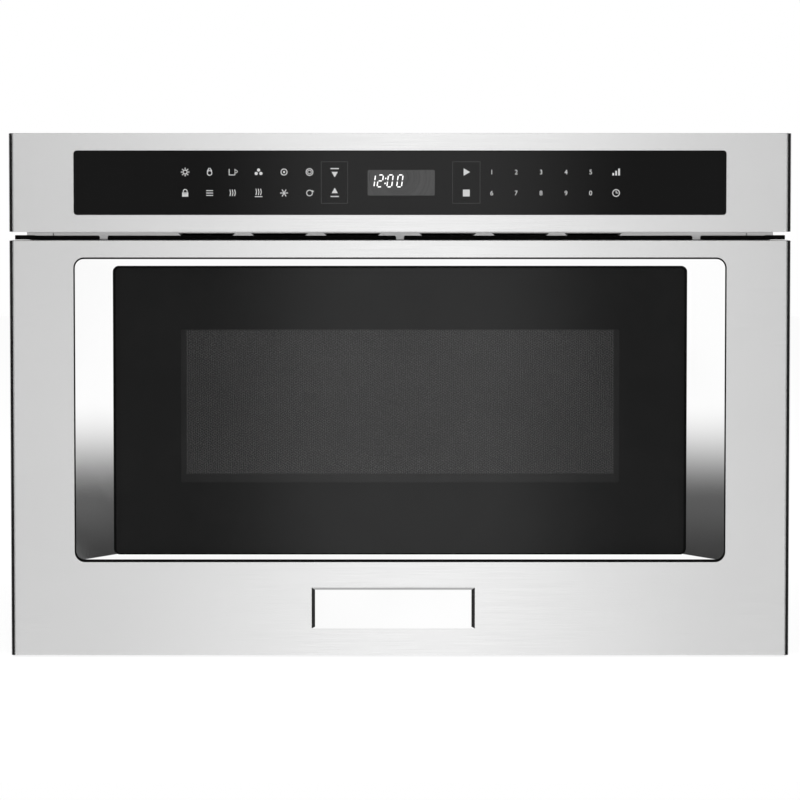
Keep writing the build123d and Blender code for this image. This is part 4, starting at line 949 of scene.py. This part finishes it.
# %% Set the marks out in two rows
upper_row, lower_row = 377.4, 361.2
sign_size = 1.4
digit_size = 3.6
left_columns = (-166.2, -147.3, -129.5, -109.4, -89.7, -70.0, -50.5)
number_columns = (71.0, 89.9, 109.1, 128.4, 147.5)
start_column, clock_column = 51.3, 167.2
upper_signs = (sign_settings, sign_drop, sign_cup, sign_dots, sign_pan, sign_plate, sign_open)
lower_signs = (
    sign_lock,
    sign_layers,
    sign_heat,
    sign_kept_heat,
    sign_frost,
    sign_again,
    sign_close,
)
signs = [
    *((sign, column, upper_row) for sign, column in zip(upper_signs, left_columns)),
    *((sign, column, lower_row) for sign, column in zip(lower_signs, left_columns)),
    (sign_start, start_column, upper_row),
    (sign_stop, start_column, lower_row),
    (sign_steps, clock_column, upper_row),
    (sign_clock, clock_column, lower_row),
]
marks = bmesh.new()
for sign, column, row in signs:
    drawing = bmesh.new()
    sign(drawing)
    placing = Matrix.Translation((column, row, 0)) @ Matrix.Scale(sign_size, 4)
    bmesh.ops.transform(drawing, matrix=placing, verts=drawing.verts[:])
    sign_mesh = bpy.data.meshes.new("sign")
    drawing.to_mesh(sign_mesh)
    drawing.free()
    marks.from_mesh(sign_mesh)
    bpy.data.meshes.remove(sign_mesh)
for column, upper, lower in zip(number_columns, "12345", "67890"):
    numeral(marks, upper, column, upper_row, digit_size)
    numeral(marks, lower, column, lower_row, digit_size)
print("signs", len(signs), "numbers", 2 * len(number_columns))

# %% Print the marks and their frames on the glass
glass_low, glass_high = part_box("control_glass")
ink_lift = 0.02 * mm
on_glass = facing_front(glass_low.y - ink_lift) @ Matrix.Scale(mm, 4)
bmesh.ops.transform(marks, matrix=on_glass, verts=marks.verts[:])
key_marks = finished(marks, "key_marks", white_ink, "case")

frame_middle, frame_height, frame_line = 369.3, 32.4, 0.35
key_frames = bmesh.new()
for column, width in ((-50.7, 20.8), (51.3, 21.6)):
    bar(key_frames, column, frame_middle, width, frame_height)
frame_only(key_frames, key_frames.faces[:], frame_line)
bmesh.ops.transform(key_frames, matrix=on_glass, verts=key_frames.verts[:])
key_outlines = finished(key_frames, "key_outlines", faint_ink, "case")
print("marks", len(key_marks.data.polygons), "faces")

# %% [markdown]
# ## The clock's digits
# The clock shows seven-segment digits that lean to the right. Each segment is a short bar, and a
# table says which of the seven each digit lights. All bars are drawn upright and then sheared in
# one go, which is how such a display is laid out.

# %% Draw the segments
lit_segments = {"0": "abcdef", "1": "bc", "2": "abged"}
digit_width, digit_height, stroke, segment_gap = 3.7, 9.2, 0.85, 1.2
# each segment's place in half widths and half heights, and whether it lies level
segment_places = {
    "a": (0, 1, True),
    "g": (0, 0, True),
    "d": (0, -1, True),
    "f": (-1, 0.5, False),
    "b": (1, 0.5, False),
    "e": (-1, -0.5, False),
    "c": (1, -0.5, False),
}
level_bar = (digit_width - segment_gap, stroke)
upright_bar = (stroke, digit_height / 2 - segment_gap)
colon_x, colon_z, colon_radius = -12.2, 1.9, 0.6
clock = bmesh.new()
for digit, x in zip("1200", (-22.3, -16.2, -8.6, -1.0)):
    for segment in lit_segments[digit]:
        halves_x, halves_z, is_level = segment_places[segment]
        size = level_bar if is_level else upright_bar
        bar(clock, x + halves_x * digit_width / 2, halves_z * digit_height / 2, *size)
for z in (-colon_z, colon_z):
    disc(clock, colon_x, z, colon_radius, sides=10)
print("clock", len(clock.faces), "shapes")

# %% Lean the digits and set them behind the glass
sideways_by_height = 0.14
slant = Matrix.Identity(4)
slant[0][1] = sideways_by_height
clock_middle = Matrix.Translation((0.9, display_z / mm + 1.4, 0))
bmesh.ops.transform(clock, matrix=clock_middle @ slant, verts=clock.verts[:])
behind_glass = facing_front(glass_high.y - ink_lift) @ Matrix.Scale(mm, 4)
bmesh.ops.transform(clock, matrix=behind_glass, verts=clock.verts[:])

lit_segment, tree, shader = start("lit_segment", base_color=grey(60), emission_strength=3.0)
segment_glow = add(tree, "Group", {"Scale": 2000.0}, node_tree=texture).outputs["Height"]
tree.links.new(mixed(tree, segment_glow, grey(236), grey(250)), shader.inputs["Emission Color"])
clock_digits = finished(clock, "clock_digits", lit_segment, "case")
print("clock", len(clock_digits.data.polygons), "faces")

# %% [markdown]
# ## Floor, lamps and room
# Steel and glass show their surroundings, so the surroundings are part of the finish. A picture of
# such a product is lit by one tall soft light over the camera, in a room that is pale at the sides
# and behind, and dark above eye level. The world carries that room for what is mirrored, and an
# even grey for all other light. Two narrow black cards stand close beside the front. Only what
# mirrors them sees them, and they draw the panels' rolled edges as dark lines. The floor is pale,
# and keeps a shadow.

# %% The floor
face_y = -294.5 * mm  # the plane of the front panels
floor_half, floor_reach = 4.0, 0.62
floor_tone, floor_lift = 0.35, 0.75


def emptied(owner):
    """The node tree of a material or a world, with nothing in it."""
    owner.use_nodes = True
    owner.node_tree.nodes.clear()
    return owner.node_tree


pale_floor = bpy.data.materials.new("pale_floor")
tree = emptied(pale_floor)
floor_paint = add(tree, "BsdfDiffuse", {"Color": (floor_tone, floor_tone, floor_tone, 1)})
seen = add(tree, "LightPath").outputs
mirrored = maths(tree, "MAXIMUM", seen["Is Glossy Ray"], seen["Is Transmission Ray"])
shown = maths(tree, "MAXIMUM", seen["Is Camera Ray"], mirrored)
lift = maths(tree, "MULTIPLY", shown, floor_lift)
floor_glow = add(tree, "Emission", {"Color": (1, 1, 1, 1), "Strength": lift})
floor_sum = add(tree, "AddShader", {0: floor_paint.outputs[0], 1: floor_glow.outputs[0]})
add(tree, "OutputMaterial", {"Surface": floor_sum.outputs[0]})

floor = bmesh.new()
floor_place = Matrix.Translation((0, face_y - floor_reach + floor_half, 0))
rectangle(floor, floor_place, 2 * floor_half, 2 * floor_half)
floor_piece = placed(floor, "floor", pale_floor)
floor_piece.visible_glossy = False
print("floor from", in_mm(floor_piece.bound_box[0]), "mm")

# %% Two black cards that draw the rolled edges as dark lines
card_x = 306.5 * mm
card_y = (-303.5 * mm, -290.2 * mm)
card_z = (-100.0 * mm, 550.0 * mm)
card_black = moulded("card_black", grey(8), grey(12), (0.8, 0.9), 900.0, 0.02 * mm)
for name, x in (("left_card", -card_x), ("right_card", card_x)):
    card = bmesh.new()
    outline(card, card_y, card_z, 0.0)
    sideways = Matrix.Rotation(math.pi / 2, 4, "Z") @ facing_front(0.0)
    bmesh.ops.transform(card, matrix=Matrix.Translation((x, 0, 0)) @ sideways, verts=card.verts[:])
    card_piece = placed(card, name, card_black)
    card_piece.visible_camera = False
    card_piece.visible_diffuse = False
    card_piece.visible_transmission = False
    card_piece.visible_shadow = False
    print(name, "at", in_mm((x,)), "mm")

# %% How bright the room is
plain_light = 0.62  # for everything that scatters light
lamp_middle, lamp_edge = 1.27, 0.85  # the tall lamp, as brushed steel mirrors it
lamp_foot = 1.07
white_wall, dim_wall, dark_wall = 1.06, 0.11, 0.045
pale_side, grey_ceiling, dark_screen = 0.8, 0.45, 0.03
glimpse_middle, glimpse_edge = 0.68, 0.22  # the gap round the camera
behind_middle, behind_edge = 1.0, 0.3  # the room behind glass
print("the lamp is", round(lamp_middle / plain_light, 2), "times as bright as the plain light")

# %% Directions in the room, in degrees
lamp_turn = 0.25  # the lamp stands a little to the right
world = bpy.data.worlds.new("studio")
bpy.context.scene.world = world
sky = emptied(world)
look = add(sky, "TexCoord").outputs["Generated"]
across, back, up = add(sky, "SeparateXYZ", {0: look}).outputs
ahead = maths(sky, "MULTIPLY", back, -1.0)
turn = maths(sky, "DEGREES", maths(sky, "ARCTAN2", across, ahead))
side = maths(sky, "ABSOLUTE", turn)
from_lamp = maths(sky, "ABSOLUTE", maths(sky, "SUBTRACT", turn, lamp_turn))
rise = maths(sky, "DEGREES", maths(sky, "ARCSINE", up))
away = maths(sky, "ABSOLUTE", rise)
over = maths(sky, "DEGREES", maths(sky, "ARCTAN2", up, ahead))


def both(first, second):
    """Where two masks overlap."""
    return maths(sky, "MULTIPLY", first, second)


def reach(angle, start, full):
    """A mask that goes from 0 at one angle to 1 at another, which may be the smaller."""
    return fade(sky, angle, start, full)


def between(angle, start, full, still_full, end):
    """A mask that is 1 between the two inner angles and 0 outside the outer two."""
    return both(reach(angle, start, full), reach(angle, end, still_full))


def blend(value, other, mask):
    """Goes from one strength to another where the mask is 1."""
    return mixed(sky, mask, value, other, "FLOAT")


print("the lamp stands", lamp_turn, "degrees to the right")

# %% The room as metal sees it
# one tall soft lamp ahead, and a pale room at the sides and behind
room = fade(sky, from_lamp, 0.6, 4.6, lamp_middle, lamp_edge)
room = blend(room, pale_side, reach(side, 16.0, 20.0))
# dark above eye level, where the recess's lower corners look
dark_above = both(between(side, 6.5, 9.0, 70.0, 78.0), between(rise, -3.2, -2.6, 60.0, 66.0))
room = blend(room, dark_screen, dark_above)
# white below it, where the upper corners look
white_below = both(between(side, 8.8, 10.2, 15.2, 17.0), reach(rise, -2.8, -3.4))
room = blend(room, white_wall, white_below)
# white upright walls, as the recess's sides see them
walls = both(between(side, 12.15, 12.35, 15.2, 17.0), reach(rise, -0.6, -1.1))
room = blend(room, white_wall, walls)
# which fall into the dark a little below eye level
low_walls = both(walls, reach(rise, -6.1, -5.75))
room = blend(room, dim_wall, both(low_walls, reach(rise, -3.3, -4.8)))
room = blend(room, dark_wall, both(low_walls, reach(rise, -4.7, -5.7)))
# a dark patch on each side, which the badge's upright bevels mirror
patch = both(between(side, 41.0, 44.0, 52.0, 55.0), reach(away, 14.0, 11.0))
room = blend(room, dark_screen, patch)
# white above and below, but for a grey ceiling just ahead of the oven
room = blend(room, white_wall, reach(away, 55.0, 70.0))
room = blend(room, grey_ceiling, between(over, 58.0, 66.0, 77.0, 80.0))
# the badge's face mirrors the foot of the lamp
near_camera = reach(side, 6.6, 6.0)
room = blend(room, lamp_foot, both(near_camera, between(rise, -10.0, -8.0, -5.95, -5.8)))
# the dim gap round the camera, which only the smooth glasses and the badge can make out
glimpse = fade(sky, from_lamp, 0.8, 3.3, glimpse_middle, glimpse_edge)
metal_room = blend(room, glimpse, both(near_camera, between(rise, -5.95, -5.8, 1.0, 1.6)))
print("the room has", len(sky.nodes), "nodes")

# %% The room behind glass, and all other light
glass_room = fade(sky, from_lamp, 0.5, 6.0, behind_middle, behind_edge)
ray = add(sky, "LightPath").outputs


def light(strength):
    """White light from all around."""
    return add(sky, "Background", {"Color": (1, 1, 1, 1), "Strength": strength}).outputs[0]


def choose(is_ray, others, theirs):
    """One light for a kind of ray, and another for the others."""
    return add(sky, "MixShader", {0: ray[is_ray], 1: others, 2: theirs}).outputs[0]


shown = choose("Is Glossy Ray", light(plain_light), light(metal_room))
shown = choose("Is Transmission Ray", shown, light(glass_room))
shown = choose("Is Camera Ray", shown, light(1.0))
add(sky, "OutputWorld", {"Surface": shown})
print("the world has", len(sky.nodes), "nodes")

# %% Lamps
lamp_aim = Vector((0, 0, 0.2))


def soft_lamp(name, place, width, height, power):
    """A rectangular lamp that looks at the oven. Mirrors don't show it: they show the room."""
    lamp = bpy.data.lights.new(name, "AREA")
    lamp.shape = "RECTANGLE"
    lamp.size, lamp.size_y = width, height
    lamp.energy = power
    carrier = bpy.data.objects.new(name, lamp)
    bpy.context.scene.collection.objects.link(carrier)
    carrier.location = place
    carrier.rotation_euler = (lamp_aim - Vector(place)).to_track_quat("-Z", "Y").to_euler()
    carrier.visible_glossy = False
    carrier.visible_transmission = False
    print(name, "lamp,", power, "watts")


soft_lamp("overhead", (0, -1.0, 2.4), width=2.4, height=1.6, power=26.0)
soft_lamp("left", (-2.2, -1.6, 1.4), width=1.2, height=1.6, power=8.0)
soft_lamp("right", (2.2, -1.6, 1.4), width=1.2, height=1.6, power=8.0)

# %% The camera
view_target = Vector((0.0, face_y, 200.8 * mm))
view_distance = 3.0
view_rise, view_angle = math.radians(3.3), math.radians(11.815)
to_camera = Vector((0.0, -math.cos(view_rise), math.sin(view_rise)))
camera_data = bpy.data.cameras.new("camera")
camera_data.sensor_width = 36.0
camera_data.angle = view_angle
camera = bpy.data.objects.new("camera", camera_data)
bpy.context.scene.collection.objects.link(camera)
camera.location = view_target + view_distance * to_camera
camera.rotation_euler = (-to_camera).to_track_quat("-Z", "Y").to_euler()
bpy.context.scene.camera = camera
bpy.context.scene.view_settings.view_transform = "Standard"
print("lens", round(camera_data.lens, 1), "mm")
